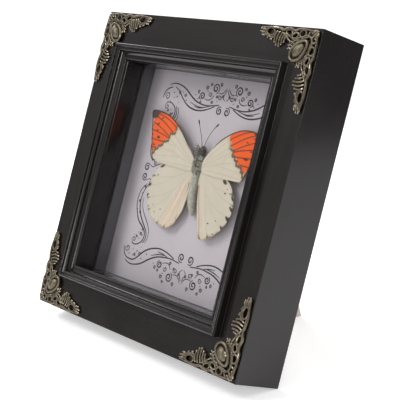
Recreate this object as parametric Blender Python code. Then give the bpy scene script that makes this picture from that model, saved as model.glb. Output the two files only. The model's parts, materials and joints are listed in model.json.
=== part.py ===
"""A set butterfly in a deep black shadow-box frame that stands on a table on its own easel strut.

The frame is modelled upright in its own axes: x runs across it, z runs up it and y runs from
its front face (y = 0) into its depth. One empty then leans the whole frame back on its strut.
The world origin is under the middle of the whole object, on the table.
"""

import math

import bmesh
import bpy
from mathutils import Vector

MM = 0.001

# Driving dimensions of the frame
SIDE = 175 * MM                 # outside width and height
HALF = SIDE / 2
DEPTH = 30 * MM                 # front face to back face, without the moulding
LEAN = math.radians(18.34)      # how far the frame leans back from upright
GAP = 0.3 * MM                  # clearance between neighbouring pieces
MITRE_GAP = 0.2 * MM            # open joint between two rails

# Section of a rail, measured inwards from the outer edge
EDGE_ROUND = 0.3 * MM
FACE_WIDTH = 18.2 * MM          # flat front face
MOULDING_TOP = 4.6 * MM         # how far the moulding stands proud of the face
RIDGE_RADIUS = 1.1 * MM         # rounded top of the moulding
INNER_BEAD_RADIUS = 0.7 * MM    # fine bead inside the ridge
COVE_RADIUS = 3.3 * MM
BEAD_RADIUS = 0.85 * MM         # lip at the sight edge
QUIRK = 0.3 * MM                # fine grooves beside the ridge and under the lip
SIGHT_WIDTH = 27.1 * MM         # outer edge to the sight edge
WALL_DEPTH = 12.0 * MM          # front face to the glass rebate
REBATE_WIDTH = 22.5 * MM        # outer edge to the rebate's side

# The stack of sheets behind the sight edge
STACK_HALF = HALF - REBATE_WIDTH - 0.5 * MM
GLASS_THICK = 1.8 * MM
SPACER_HEIGHT = 7.4 * MM
SPACER_THICK = 3.6 * MM
CARD_THICK = 1.2 * MM
PANEL_THICK = 6.0 * MM
GLASS_FRONT = WALL_DEPTH + GAP
SPACER_FRONT = GLASS_FRONT + GLASS_THICK + GAP
CARD_FRONT = SPACER_FRONT + SPACER_HEIGHT + GAP
PANEL_FRONT = CARD_FRONT + CARD_THICK + GAP
PANEL_BACK = PANEL_FRONT + PANEL_THICK

# The easel strut and its hinge
LEAF_THICK = 0.8 * MM
KNUCKLE_RADIUS = 2.6 * MM
KNUCKLE_BORE = 1.3 * MM
PIN_RADIUS = 1.0 * MM
HINGE_WIDTH = 26 * MM
KNUCKLE_HALF = 4.2 * MM         # half the width of the strut leaf's own knuckle
LEAF_REACH = 10 * MM
NOTCH_REACH = 3.3 * MM
TOP_SCREW_REACH = 6.4 * MM      # pin to the screws in the panel's leaf
FOOT_SCREW_REACH = 8.2 * MM     # pin to the screws in the strut's leaf
PIN_HEAD = 0.8 * MM
STRUT_THICK = 3.5 * MM
STRUT_FOOT_HALF = 12.6 * MM
STRUT_TOP_HALF = 12.0 * MM
STRUT_TOP = 3.4 * MM            # pin to the top end of the strut
FOOT_SPREAD = 89.5 * MM         # frame's standing edge to the back of the foot
HINGE_HEIGHT = 141 * MM         # bottom edge to the hinge pin, along the back
PIN_DEPTH = PANEL_BACK + GAP + KNUCKLE_RADIUS
LEAF_FACE = KNUCKLE_RADIUS - LEAF_THICK

# Fastenings
SCREW_SHANK = 0.9 * MM
SCREW_HOLE = 1.2 * MM
SCREW_HEAD = 1.9 * MM
HEAD_HEIGHT = 0.9 * MM
BUTTON_THICK = 1.0 * MM
BUTTON_WIDTH = 8 * MM
BUTTON_REACH = 14 * MM
BUTTON_OFFSET = 15 * MM         # outer edge to the pivot screw
BUTTON_HEIGHT = 34 * MM         # middle of the frame to the pivot screw
PIVOT_SHANK = 1.4 * MM
PIVOT_HOLE = 1.7 * MM
PIVOT_HEAD = 3.1 * MM

# Corner ornaments
PLATE_THICK = 2.3 * MM
CABOCHON_PLACE = 11.8 * MM      # from both outer edges
CABOCHON_LONG = 5.2 * MM
CABOCHON_SHORT = 3.3 * MM
CABOCHON_RISE = 2.4 * MM
CABOCHON_SINK = 1.0 * MM        # its middle below the plate's front
ORNAMENT_MARGIN = 1.3 * MM      # ornament's outline to the frame's outer edge

# The butterfly
BODY_X = 1.6 * MM
WING_THICK = 0.3 * MM
FOREWING_FRONT = 17.3 * MM
HINDWING_FRONT = FOREWING_FRONT + WING_THICK + GAP
FEELER_RADIUS = 0.22 * MM
CLUB_RADIUS = 0.5 * MM


def clear_scene():
    for item in list(bpy.data.objects):
        bpy.data.objects.remove(item, do_unlink=True)


def finish(name, colour, roughness, metallic=0.0, alpha=1.0):
    """A plain Principled material."""
    material = bpy.data.materials.new(name)
    material.use_nodes = True
    shader = material.node_tree.nodes["Principled BSDF"]
    shader.inputs["Base Color"].default_value = (*colour, 1.0)
    shader.inputs["Roughness"].default_value = roughness
    shader.inputs["Metallic"].default_value = metallic
    shader.inputs["Alpha"].default_value = alpha
    return material


def make_finishes():
    return {
        "lacquer": finish("black_lacquer", (0.020, 0.018, 0.018), 0.35),
        "brass": finish("antique_brass", (0.34, 0.27, 0.15), 0.42, 1.0),
        "glass": finish("clear_glass", (0.95, 0.97, 0.96), 0.02, 0.0, 0.12),
        "spacer": finish("grey_mount_board", (0.08, 0.08, 0.085), 0.8),
        "card": finish("lilac_card", (0.42, 0.40, 0.45), 0.85),
        "forewing": finish("orange_tip_wing", (0.80, 0.74, 0.55), 0.75),
        "hindwing": finish("cream_wing", (0.72, 0.69, 0.54), 0.75),
        "body": finish("furred_body", (0.30, 0.31, 0.25), 0.95),
        "feeler": finish("dark_feeler", (0.06, 0.045, 0.035), 0.7),
        "glue": finish("clear_glue", (0.75, 0.70, 0.55), 0.3),
        "board": finish("brown_hardboard", (0.30, 0.19, 0.11), 0.8),
        "strut": finish("tan_strut_board", (0.55, 0.43, 0.31), 0.75),
        "steel": finish("zinc_plated_steel", (0.55, 0.55, 0.56), 0.35, 1.0),
    }


def empty(name, parent=None, location=(0, 0, 0), turn_x=0.0):
    item = bpy.data.objects.new(name, None)
    bpy.context.collection.objects.link(item)
    item.parent = parent
    item.location = location
    item.rotation_euler = (turn_x, 0, 0)
    return item


def solid_from(mesh_builder, name, material, parent, location=(0, 0, 0)):
    """Turns a finished bmesh into one named object with its faces pointing out."""
    bmesh.ops.recalc_face_normals(mesh_builder, faces=mesh_builder.faces)
    mesh = bpy.data.meshes.new(name)
    mesh_builder.to_mesh(mesh)
    mesh_builder.free()
    mesh.materials.append(material)
    item = bpy.data.objects.new(name, mesh)
    bpy.context.collection.objects.link(item)
    item.parent = parent
    item.location = location
    return item


def smooth_shading(item, angle=30):
    item.data.shade_smooth()
    item.data.set_sharp_from_angle(angle=math.radians(angle))


def extruded(outline, front, back):
    """A bmesh of an (x, z) outline, closed between two depths."""
    shape = bmesh.new()
    corners = [shape.verts.new((x, front, z)) for x, z in outline]
    face = shape.faces.new(corners)
    pulled = bmesh.ops.extrude_face_region(shape, geom=[face])
    moved = [g for g in pulled["geom"] if isinstance(g, bmesh.types.BMVert)]
    bmesh.ops.translate(shape, verts=moved, vec=(0, back - front, 0))
    return shape


def box_mesh(low, high):
    outline = [(low[0], low[2]), (high[0], low[2]), (high[0], high[2]), (low[0], high[2])]
    return extruded(outline, low[1], high[1])


def arc(centre, radius, start, end, steps):
    """Points on an arc; angles in degrees from +x, towards +y."""
    points = []
    for i in range(steps + 1):
        angle = math.radians(start + (end - start) * i / steps)
        points.append((centre[0] + radius * math.cos(angle), centre[1] + radius * math.sin(angle)))
    return points


def circle(centre, radius, steps):
    return arc(centre, radius, 0, 360 * (steps - 1) / steps, steps - 1)


def rounded_outline(points, steps):
    """A smooth closed outline through a few points, with several steps in each span."""
    count = len(points)
    outline = []
    for i in range(count):
        a, b, c, d = (Vector(points[(i + k) % count]) for k in (-1, 0, 1, 2))
        for j in range(steps):
            t = j / steps
            point = 0.5 * (2 * b + (c - a) * t + (2 * a - 5 * b + 4 * c - d) * t ** 2
                           + (3 * b - a - 3 * c + d) * t ** 3)
            outline.append((point.x, point.y))
    return outline


def cut(item, cutter_mesh, parent=None):
    """Takes a closed cutter away from a solid. The cutter is hidden from the model."""
    cutter = solid_from(cutter_mesh, item.name + ".cutter", None, parent or item.parent)
    cutter.hide_render = True
    cutter.display_type = "WIRE"
    modifier = item.modifiers.new("cut", "BOOLEAN")
    modifier.operation = "DIFFERENCE"
    modifier.solver = "EXACT"
    modifier.object = cutter


def add(item, extra_mesh, parent=None):
    """Joins a closed shape to a solid."""
    extra = solid_from(extra_mesh, item.name + ".extra", None, parent or item.parent)
    extra.hide_render = True
    extra.display_type = "WIRE"
    modifier = item.modifiers.new("join", "BOOLEAN")
    modifier.operation = "UNION"
    modifier.solver = "EXACT"
    modifier.object = extra


# The frame ------------------------------------------------------------------------------------


def rail_section():
    """(inward, depth) points round a rail: face, moulding, cove, lip, wall, rebate and back."""
    ridge = (FACE_WIDTH + 0.2 * MM + RIDGE_RADIUS, RIDGE_RADIUS - MOULDING_TOP)
    bead = (ridge[0] + 2.3 * MM, ridge[1] + 0.8 * MM)
    lip = (SIGHT_WIDTH - BEAD_RADIUS, 0.0)
    cove = (lip[0] - BEAD_RADIUS, -COVE_RADIUS - QUIRK)
    section = arc((EDGE_ROUND, EDGE_ROUND), EDGE_ROUND, 180, 270, 4)
    section += [(FACE_WIDTH, 0.0), (FACE_WIDTH + 0.2 * MM, -QUIRK)]
    section += arc(ridge, RIDGE_RADIUS, 180, 300, 8)
    section += [(ridge[0] + 0.75 * MM, ridge[1])]
    section += arc(bead, INNER_BEAD_RADIUS, 225, 350, 7)
    section += arc(cove, COVE_RADIUS, 150, 92, 7)
    section += arc(lip, BEAD_RADIUS, 195, 360, 9)
    section += [(SIGHT_WIDTH, 2 * QUIRK), (SIGHT_WIDTH - QUIRK, 3 * QUIRK),
                (SIGHT_WIDTH, 4 * QUIRK)]
    section += [(SIGHT_WIDTH, WALL_DEPTH), (REBATE_WIDTH, WALL_DEPTH)]
    section += [(REBATE_WIDTH, DEPTH)]
    section += arc((EDGE_ROUND, DEPTH - EDGE_ROUND), EDGE_ROUND, 90, 180, 4)
    return section


def make_rail(name, side, material, parent):
    """One mitred rail. side turns it round the frame: 0 top, 1 left, 2 bottom, 3 right."""
    shape = bmesh.new()
    ends = []
    for sign in (-1, 1):
        ring = []
        for inward, depth in rail_section():
            along = sign * (HALF - inward - MITRE_GAP / math.sqrt(2))
            ring.append(shape.verts.new((along, depth, HALF - inward)))
        ends.append(ring)
    count = len(ends[0])
    for i in range(count):
        k = (i + 1) % count
        shape.faces.new((ends[0][i], ends[0][k], ends[1][k], ends[1][i]))
    shape.faces.new(ends[0])
    shape.faces.new(ends[1])
    rail = solid_from(shape, name, material, parent)
    rail.rotation_euler = (0, -side * math.pi / 2, 0)
    smooth_shading(rail)
    return rail


def make_frame(finishes, parent):
    for side, name in enumerate(("rail_top", "rail_left", "rail_bottom", "rail_right")):
        rail = make_rail(name, side, finishes["lacquer"], parent)
        if side in (1, 3):
            sign = -1 if side == 1 else 1
            for end in (-1, 1):
                place = (sign * (HALF - BUTTON_OFFSET), end * BUTTON_HEIGHT)
                hole = extruded(circle(place, PIVOT_HOLE, 16), DEPTH - 6 * MM, DEPTH + 1 * MM)
                cut(rail, hole, parent)


def ornament_outline():
    """Outline of one corner ornament in (along one edge, along the other), from the corner."""
    leg = [(1.4, 1.4), (6.0, 1.2), (13.0, 1.8), (20.0, 1.3), (28.0, 1.7), (35.0, 1.9),
           (39.5, 1.5), (42.5, 3.2), (39.5, 5.0), (35.5, 4.2), (31.5, 6.6), (27.5, 6.8),
           (23.5, 9.0), (19.5, 9.6), (17.2, 12.6)]
    half = [(a * MM, b * MM) for a, b in leg]
    mirrored = [(b, a) for a, b in reversed(half[1:])]
    return rounded_outline(half + [(16.4 * MM, 16.4 * MM)] + mirrored, 2)


def make_ornament(name, x_sign, z_sign, material, parent):
    """A cast corner: a pierced-work plate with a long domed stone on the corner's diagonal."""
    outline = [(x_sign * (HALF - a), z_sign * (HALF - b)) for a, b in ornament_outline()]
    plate = solid_from(extruded(outline, -GAP, -GAP - PLATE_THICK), name, material, parent)
    dome = bmesh.new()
    bmesh.ops.create_uvsphere(dome, u_segments=16, v_segments=10, radius=1.0)
    bmesh.ops.scale(dome, vec=(CABOCHON_LONG, CABOCHON_RISE, CABOCHON_SHORT),
                    verts=dome.verts)
    for vertex in dome.verts:
        x, y, z = vertex.co
        slant = math.radians(45 * x_sign * z_sign)
        vertex.co = (x * math.cos(slant) - z * math.sin(slant), min(y, CABOCHON_SINK / 2),
                     x * math.sin(slant) + z * math.cos(slant))
    place = (x_sign * (HALF - CABOCHON_PLACE), CABOCHON_SINK - GAP - PLATE_THICK,
             z_sign * (HALF - CABOCHON_PLACE))
    bmesh.ops.translate(dome, vec=place, verts=dome.verts)
    add(plate, dome)
    smooth_shading(plate, 25)


def make_ornaments(finishes, parent):
    for x_sign, x_name in ((-1, "left"), (1, "right")):
        for z_sign, z_name in ((1, "top"), (-1, "bottom")):
            name = f"corner_ornament_{z_name}_{x_name}"
            make_ornament(name, x_sign, z_sign, finishes["brass"], parent)


# The sheets in the rebate ---------------------------------------------------------------------


def make_sheet(name, front, thick, material, parent):
    low = (-STACK_HALF, front, -STACK_HALF)
    high = (STACK_HALF, front + thick, STACK_HALF)
    return solid_from(box_mesh(low, high), name, material, parent)


def make_spacers(finishes, parent):
    """Four strips of mount board that hold the glass off the card."""
    inner = STACK_HALF - SPACER_THICK
    back = SPACER_FRONT + SPACER_HEIGHT
    for sign, name in ((-1, "spacer_left"), (1, "spacer_right")):
        near, far = sorted((sign * inner, sign * STACK_HALF))
        strip = box_mesh((near, SPACER_FRONT, -STACK_HALF), (far, back, STACK_HALF))
        solid_from(strip, name, finishes["spacer"], parent)
    reach = inner - GAP
    for sign, name in ((1, "spacer_top"), (-1, "spacer_bottom")):
        near, far = sorted((sign * inner, sign * STACK_HALF))
        strip = box_mesh((-reach, SPACER_FRONT, near), (reach, back, far))
        solid_from(strip, name, finishes["spacer"], parent)


# The butterfly --------------------------------------------------------------------------------

# Wing outlines in millimetres across and up the frame, from its middle
FOREWING_LEFT = [(-2.5, 13.8), (-9.0, 20.6), (-18.5, 28.4), (-30.0, 34.8), (-42.0, 37.2),
                 (-48.4, 36.2), (-46.4, 29.0), (-42.6, 18.6), (-38.6, 9.2), (-36.6, 8.1),
                 (-26.0, 7.9), (-10.0, 7.2), (-2.8, 9.0)]
FOREWING_RIGHT = [(5.7, 15.2), (12.0, 23.6), (20.0, 30.0), (30.0, 34.2), (40.0, 34.4),
                  (47.3, 31.4), (45.6, 24.0), (42.4, 16.4), (39.2, 8.7), (37.6, 7.6),
                  (27.0, 7.2), (14.0, 7.2), (6.0, 9.4)]
HINDWING_LEFT = [(-2.7, 10.6), (-14.0, 9.8), (-26.5, 8.4), (-31.8, 4.4), (-35.0, -2.6),
                 (-35.2, -10.0), (-32.0, -17.4), (-25.0, -23.4), (-15.4, -26.4), (-9.6, -25.2),
                 (-4.6, -19.4), (-2.0, -13.0), (-1.4, -4.0), (-1.6, 4.0)]
HINDWING_RIGHT = [(5.9, 9.8), (15.0, 9.0), (27.0, 7.4), (32.6, 3.4), (36.4, -3.4),
                  (36.8, -9.6), (33.8, -16.8), (28.0, -22.6), (19.4, -26.8), (15.2, -25.6),
                  (11.8, -18.0), (8.4, -9.0), (6.2, 0.0), (5.8, 5.0)]

# Body rings from the head to the tail: height up the frame, place across it, depth, half width
# and half thickness. The tail droops to the right.
BODY_RINGS = [(21.6, 1.9, 18.6, 0.7, 0.7), (20.6, 1.9, 18.5, 1.6, 1.5),
              (19.0, 1.9, 18.5, 1.9, 1.7), (17.6, 1.8, 18.5, 1.5, 1.5),
              (16.4, 1.7, 18.5, 2.5, 2.0), (14.4, 1.6, 18.4, 3.2, 2.3),
              (12.0, 1.6, 18.4, 3.5, 2.4), (9.6, 1.6, 18.4, 3.3, 2.3),
              (7.4, 1.6, 18.5, 2.5, 2.0), (6.2, 1.6, 18.6, 2.1, 1.8),
              (4.0, 1.6, 18.7, 2.4, 2.0), (0.0, 1.4, 18.8, 2.6, 2.1),
              (-5.0, 1.4, 18.9, 2.4, 2.0), (-9.5, 2.1, 19.2, 2.0, 1.7),
              (-13.0, 3.3, 19.5, 1.3, 1.2), (-16.0, 5.2, 19.8, 0.4, 0.4)]
BODY_SIDES = 14
GLUE_HEIGHT = 11.5 * MM
GLUE_RADIUS = 2.0 * MM


def make_wing(name, points, front, material, parent):
    outline = rounded_outline([(x * MM, z * MM) for x, z in points], 4)
    wing = extruded(outline, front, front + WING_THICK)
    return solid_from(wing, name, material, parent)


def lofted(rings):
    """A closed bmesh through rings of equal point counts."""
    shape = bmesh.new()
    rows = [[shape.verts.new(p) for p in ring] for ring in rings]
    count = len(rows[0])
    for near, far in zip(rows, rows[1:]):
        for i in range(count):
            k = (i + 1) % count
            shape.faces.new((near[i], near[k], far[k], far[i]))
    shape.faces.new(rows[0])
    shape.faces.new(rows[-1])
    return shape


def make_body(finishes, parent):
    rings = []
    for height, across, depth, wide, thick in BODY_RINGS:
        ring = circle((0, 0), 1.0, BODY_SIDES)
        rings.append([((across + wide * c) * MM, (depth + thick * s) * MM, height * MM)
                      for c, s in ring])
    body = solid_from(lofted(rings), "butterfly_body", finishes["body"], parent)
    smooth_shading(body, 60)


def make_feeler(name, sign, material, parent):
    """A thin feeler with a slender club at its tip."""
    root = Vector((BODY_X - 0.45 * MM + sign * 0.75 * MM, 18.4 * MM, 22.3 * MM))
    tip = Vector((BODY_X + sign * 8.3 * MM, 18.2 * MM, 35.4 * MM))
    bow = Vector((-sign * 1.4 * MM, -0.3 * MM, 0.9 * MM))
    rings = []
    steps = 10
    for i in range(steps + 1):
        t = i / steps
        centre = root.lerp(tip, t) + bow * 4 * t * (1 - t)
        club = max(0.0, (t - 0.8) / 0.2)
        radius = FEELER_RADIUS + (CLUB_RADIUS - FEELER_RADIUS) * math.sin(club * math.pi * 0.8)
        rings.append([(centre.x + c, centre.y + s, centre.z)
                      for c, s in circle((0, 0), radius, 6)])
    feeler = solid_from(lofted(rings), name, material, parent)
    smooth_shading(feeler, 60)


def make_butterfly(finishes, parent):
    make_body(finishes, parent)
    make_wing("forewing_left", FOREWING_LEFT, FOREWING_FRONT, finishes["forewing"], parent)
    make_wing("forewing_right", FOREWING_RIGHT, FOREWING_FRONT, finishes["forewing"], parent)
    make_wing("hindwing_left", HINDWING_LEFT, HINDWING_FRONT, finishes["hindwing"], parent)
    make_wing("hindwing_right", HINDWING_RIGHT, HINDWING_FRONT, finishes["hindwing"], parent)
    make_feeler("antenna_left", -1, finishes["feeler"], parent)
    make_feeler("antenna_right", 1, finishes["feeler"], parent)
    dab = extruded(circle((BODY_X, GLUE_HEIGHT), GLUE_RADIUS, 14), 21.2 * MM, CARD_FRONT - GAP)
    solid_from(dab, "glue_dab", finishes["glue"], parent)


# The back -------------------------------------------------------------------------------------


def make_screw(name, place, tip, seat, shank, head, material, parent):
    """A round-head screw at (x, z), from the depth of its tip to the surface its head sits on."""
    x, z = place
    steps = 12
    profile = [(shank, tip), (shank, seat), (head, seat), (head, seat + 0.35 * HEAD_HEIGHT),
               (0.72 * head, seat + 0.85 * HEAD_HEIGHT), (0.3 * head, seat + HEAD_HEIGHT)]
    rings = []
    for radius, depth in profile:
        rings.append([(x + c, depth, z + s) for c, s in circle((0, 0), radius, steps)])
    screw = solid_from(lofted(rings), name, material, parent)
    smooth_shading(screw)


def hinge_screw_places():
    """(name, x) of the two screws in each hinge leaf."""
    return (("left", -0.3 * HINGE_WIDTH), ("right", 0.3 * HINGE_WIDTH))


def make_back_panel(finishes, parent):
    panel = make_sheet("back_panel", PANEL_FRONT, PANEL_THICK, finishes["board"], parent)
    height = HINGE_HEIGHT - HALF + TOP_SCREW_REACH
    for _, x in hinge_screw_places():
        cut(panel, extruded(circle((x, height), SCREW_HOLE, 12), PANEL_BACK - 4.2 * MM,
                            PANEL_BACK + 1 * MM))
    leaf_outside = PANEL_BACK + GAP + LEAF_THICK
    for side, x in hinge_screw_places():
        make_screw(f"hinge_screw_top_{side}", (x, height), PANEL_BACK - 3.8 * MM,
                   leaf_outside + GAP, SCREW_SHANK, SCREW_HEAD, finishes["steel"], parent)


def make_fixed_leaf(finishes, parent):
    """The hinge leaf on the back panel, with the two outer knuckles."""
    pin = (PIN_DEPTH, HINGE_HEIGHT - HALF)
    plate = box_mesh((-HINGE_WIDTH / 2, PANEL_BACK + GAP, pin[1]),
                     (HINGE_WIDTH / 2, PANEL_BACK + GAP + LEAF_THICK, pin[1] + LEAF_REACH))
    leaf = solid_from(plate, "hinge_leaf_on_panel", finishes["steel"], parent)
    add(leaf, knuckle(-HINGE_WIDTH / 2, HINGE_WIDTH / 2, pin))
    gap_half = KNUCKLE_HALF + GAP
    low = (-gap_half, pin[0] - KNUCKLE_RADIUS - 1 * MM, pin[1] - KNUCKLE_RADIUS - 1 * MM)
    high = (gap_half, pin[0] + KNUCKLE_RADIUS + 1 * MM, pin[1] + NOTCH_REACH)
    cut(leaf, box_mesh(low, high))
    cut(leaf, tube_along_x(-HINGE_WIDTH, HINGE_WIDTH, pin, KNUCKLE_BORE, 16))
    for _, x in hinge_screw_places():
        cut(leaf, extruded(circle((x, pin[1] + TOP_SCREW_REACH), SCREW_HOLE, 12), PANEL_BACK - 1 * MM,
                           PANEL_BACK + 3 * MM))


def tube_along_x(start, end, centre, radius, steps):
    """A closed round bar along x; centre is (depth, height)."""
    rings = []
    for x in (start, end):
        rings.append([(x, centre[0] + c, centre[1] + s) for c, s in circle((0, 0), radius, steps)])
    return lofted(rings)


def knuckle(start, end, centre):
    return tube_along_x(start, end, centre, KNUCKLE_RADIUS, 16)


def heel_length(open_angle):
    """How far the strut's leaf runs past the pin, so that it bears on the fixed leaf when open."""
    reach = LEAF_FACE * math.cos(open_angle) + LEAF_FACE - GAP
    return reach / math.sin(open_angle)


def make_strut(finishes, axis, open_angle, strut_length, foot_slope):
    """The strut and its leaf, modelled folded flat with the pin at the axis empty's origin."""
    inner = LEAF_FACE - GAP - STRUT_THICK
    outline = [(-STRUT_TOP_HALF, -STRUT_TOP), (-STRUT_FOOT_HALF, -strut_length),
               (STRUT_FOOT_HALF, -strut_length), (STRUT_TOP_HALF, -STRUT_TOP)]
    board = extruded(outline, inner, inner + STRUT_THICK)
    for vertex in board.verts:
        if vertex.co.z < -strut_length / 2:
            vertex.co.z -= (vertex.co.y - inner) * foot_slope
    strut = solid_from(board, "easel_strut", finishes["strut"], axis)
    plate = box_mesh((-HINGE_WIDTH / 2, LEAF_FACE, -LEAF_REACH - 2 * MM),
                     (HINGE_WIDTH / 2, LEAF_FACE + LEAF_THICK, -NOTCH_REACH))
    leaf = solid_from(plate, "hinge_leaf_on_strut", finishes["steel"], axis)
    heel = box_mesh((-KNUCKLE_HALF, LEAF_FACE, -NOTCH_REACH - 1 * MM),
                    (KNUCKLE_HALF, LEAF_FACE + LEAF_THICK, heel_length(open_angle)))
    add(leaf, heel)
    add(leaf, knuckle(-KNUCKLE_HALF, KNUCKLE_HALF, (0, 0)))
    cut(leaf, tube_along_x(-HINGE_WIDTH, HINGE_WIDTH, (0, 0), KNUCKLE_BORE, 16))
    place = -FOOT_SCREW_REACH
    for side, x in hinge_screw_places():
        cut(leaf, extruded(circle((x, place), SCREW_HOLE, 12), 0, 5 * MM))
        cut(strut, extruded(circle((x, place), SCREW_HOLE, 12), LEAF_FACE - 3.2 * MM, 5 * MM))
        make_screw(f"hinge_screw_bottom_{side}", (x, place), LEAF_FACE - 2.8 * MM,
                   LEAF_FACE + LEAF_THICK + GAP, SCREW_SHANK, SCREW_HEAD, finishes["steel"], axis)


def make_pin(finishes, parent):
    """The hinge pin, with a small head at each end."""
    rings = []
    end = HINGE_WIDTH / 2 + GAP
    head = PIN_RADIUS + 0.5 * MM
    for x, radius in ((-end - PIN_HEAD, head), (-end, head), (-end, PIN_RADIUS),
                      (end, PIN_RADIUS), (end, head), (end + PIN_HEAD, head)):
        rings.append([(x, PIN_DEPTH + c, HINGE_HEIGHT - HALF + s)
                      for c, s in circle((0, 0), radius, 16)])
    pin = solid_from(lofted(rings), "hinge_pin", finishes["steel"], parent)
    smooth_shading(pin)


def make_turn_button(name, x_sign, z_sign, finishes, parent):
    """A flat button that holds the back panel in. Its origin is on its pivot screw."""
    front = DEPTH + GAP
    half = BUTTON_WIDTH / 2
    outline = arc((0, 0), half, 90, 270, 8)
    outline += arc((BUTTON_REACH - half, 0), half, -90, 90, 8)
    outline = [(-x_sign * x, z) for x, z in outline]
    pivot = (x_sign * (HALF - BUTTON_OFFSET), z_sign * BUTTON_HEIGHT)
    plate = extruded(outline, 0, BUTTON_THICK)
    button = solid_from(plate, name, finishes["steel"], parent, (pivot[0], front, pivot[1]))
    cut(button, extruded(circle(pivot, PIVOT_HOLE, 16), DEPTH - 1 * MM, DEPTH + 3 * MM))
    make_screw("pivot_screw" + name.removeprefix("turn_button"), pivot, DEPTH - 5.5 * MM,
               front + BUTTON_THICK + GAP, PIVOT_SHANK, PIVOT_HEAD, finishes["steel"], parent)


def make_turn_buttons(finishes, parent):
    for x_sign, x_name in ((-1, "left"), (1, "right")):
        for z_sign, z_name in ((1, "top"), (-1, "bottom")):
            make_turn_button(f"turn_button_{z_name}_{x_name}", x_sign, z_sign, finishes, parent)


# Standing the frame up ------------------------------------------------------------------------


def strut_lie():
    """(angle of the strut from upright, its length from the pin to the front of the foot)."""
    pin_back = HINGE_HEIGHT * math.sin(LEAN) + (PIN_DEPTH - DEPTH) * math.cos(LEAN)
    pin_up = HINGE_HEIGHT * math.cos(LEAN) - (PIN_DEPTH - DEPTH) * math.sin(LEAN) - standing_drop()
    outer = LEAF_FACE - GAP
    angle = 0.0
    for _ in range(40):
        length = (pin_up + outer * math.sin(angle)) / math.cos(angle)
        reach = pin_back + length * math.sin(angle) + outer * math.cos(angle)
        angle += (FOOT_SPREAD - reach) / length
    inner = outer - STRUT_THICK
    return angle, (pin_up + inner * math.sin(angle)) / math.cos(angle)


def standing_drop():
    """The rounded standing edge sits this much above the sharp corner it was rounded from."""
    return EDGE_ROUND * (math.cos(LEAN) + math.sin(LEAN) - 1)


def main():
    clear_scene()
    finishes = make_finishes()
    front_reach = (DEPTH + GAP + PLATE_THICK) * math.cos(LEAN) - ORNAMENT_MARGIN * math.sin(LEAN)
    middle = (FOOT_SPREAD - front_reach) / 2
    lean = empty("frame_lean", None, (0, -middle, -standing_drop()), -LEAN)
    upright = empty("frame_axes", lean, (0, -DEPTH, HALF))
    make_frame(finishes, upright)
    make_ornaments(finishes, upright)
    make_sheet("glass_pane", GLASS_FRONT, GLASS_THICK, finishes["glass"], upright)
    make_spacers(finishes, upright)
    make_sheet("backing_card", CARD_FRONT, CARD_THICK, finishes["card"], upright)
    make_butterfly(finishes, upright)
    make_back_panel(finishes, upright)
    make_fixed_leaf(finishes, upright)
    make_pin(finishes, upright)
    make_turn_buttons(finishes, upright)
    strut_angle, strut_length = strut_lie()
    open_angle = strut_angle + LEAN
    axis = empty("strut_axis", upright, (0, PIN_DEPTH, HINGE_HEIGHT - HALF), open_angle)
    make_strut(finishes, axis, open_angle, strut_length, math.tan(strut_angle))


main()
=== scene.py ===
"""The looks of a set butterfly under glass, in a deep black shadow-box frame on an easel strut.

Pieces are modelled with the frame upright in its own axes: x runs across it, z runs up it and
y runs from its front face (y = 0) into its depth, with the origin in the middle of the front
face. Each finished piece is then leaned back with the frame. Lengths in lists are millimetres.
"""

import json
import math

import bpy
import numpy as np
from mathutils import Matrix, Vector, noise


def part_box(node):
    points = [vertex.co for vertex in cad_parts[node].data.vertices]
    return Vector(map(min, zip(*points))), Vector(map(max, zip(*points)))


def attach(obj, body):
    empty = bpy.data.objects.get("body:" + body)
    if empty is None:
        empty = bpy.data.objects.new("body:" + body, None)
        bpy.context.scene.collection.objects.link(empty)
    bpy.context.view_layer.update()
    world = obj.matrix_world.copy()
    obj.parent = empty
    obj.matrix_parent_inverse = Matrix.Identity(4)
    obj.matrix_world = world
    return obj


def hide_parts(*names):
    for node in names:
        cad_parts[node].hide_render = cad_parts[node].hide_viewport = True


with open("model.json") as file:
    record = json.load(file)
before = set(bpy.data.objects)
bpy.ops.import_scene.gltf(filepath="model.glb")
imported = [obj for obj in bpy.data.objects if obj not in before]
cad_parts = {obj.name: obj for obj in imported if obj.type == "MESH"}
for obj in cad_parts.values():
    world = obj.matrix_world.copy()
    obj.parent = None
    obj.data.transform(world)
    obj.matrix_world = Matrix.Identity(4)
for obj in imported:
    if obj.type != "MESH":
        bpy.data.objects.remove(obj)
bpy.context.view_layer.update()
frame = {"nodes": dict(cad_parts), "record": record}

MM = 0.001

# The frame's own axes, from the face it stands on
FRAME_DEPTH = 30 * MM
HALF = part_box("rail_top")[1].x
UNDERSIDE = next(m for m in frame["record"]["mounts"] if m["name"] == "frame_underside")
UP = -Vector(UNDERSIDE["axis"])
ACROSS = Vector((1, 0, 0))
INWARD = UP.cross(ACROSS)
LEAN = math.asin(UP.y)
FRONT_MIDDLE = Vector(UNDERSIDE["pos_m"]) + UP * HALF - INWARD * FRAME_DEPTH / 2
LEANED = Matrix.Translation(FRONT_MIDDLE) @ Matrix((ACROSS, INWARD, UP)).transposed().to_4x4()

# Depths of the sheets behind the frame's front face
CARD_FRONT = 22.1 * MM
FOREWING_DEPTH = 17.45 * MM
HINDWING_DEPTH = 18.05 * MM
BODY_X = 1.6

# The camera, and the lamps round the frame
VIEW_TARGET = (30.45, 0.0, -6.28)
VIEW_AZIMUTH = math.radians(50.45)
VIEW_ELEVATION = math.radians(12.58)
VIEW_DISTANCE = 600.7 * MM
LENS = 105.32
FLOOR_RADIUS = 0.75
SPIRAL_STEPS = 12


# Working by hand ------------------------------------------------------------------------------


def take(*pieces):
    """Selects these pieces only, the first as the active one."""
    bpy.ops.object.select_all(action="DESELECT")
    for piece in pieces:
        piece.select_set(True)
    bpy.context.view_layer.objects.active = pieces[0]
    return pieces[0]


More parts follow.
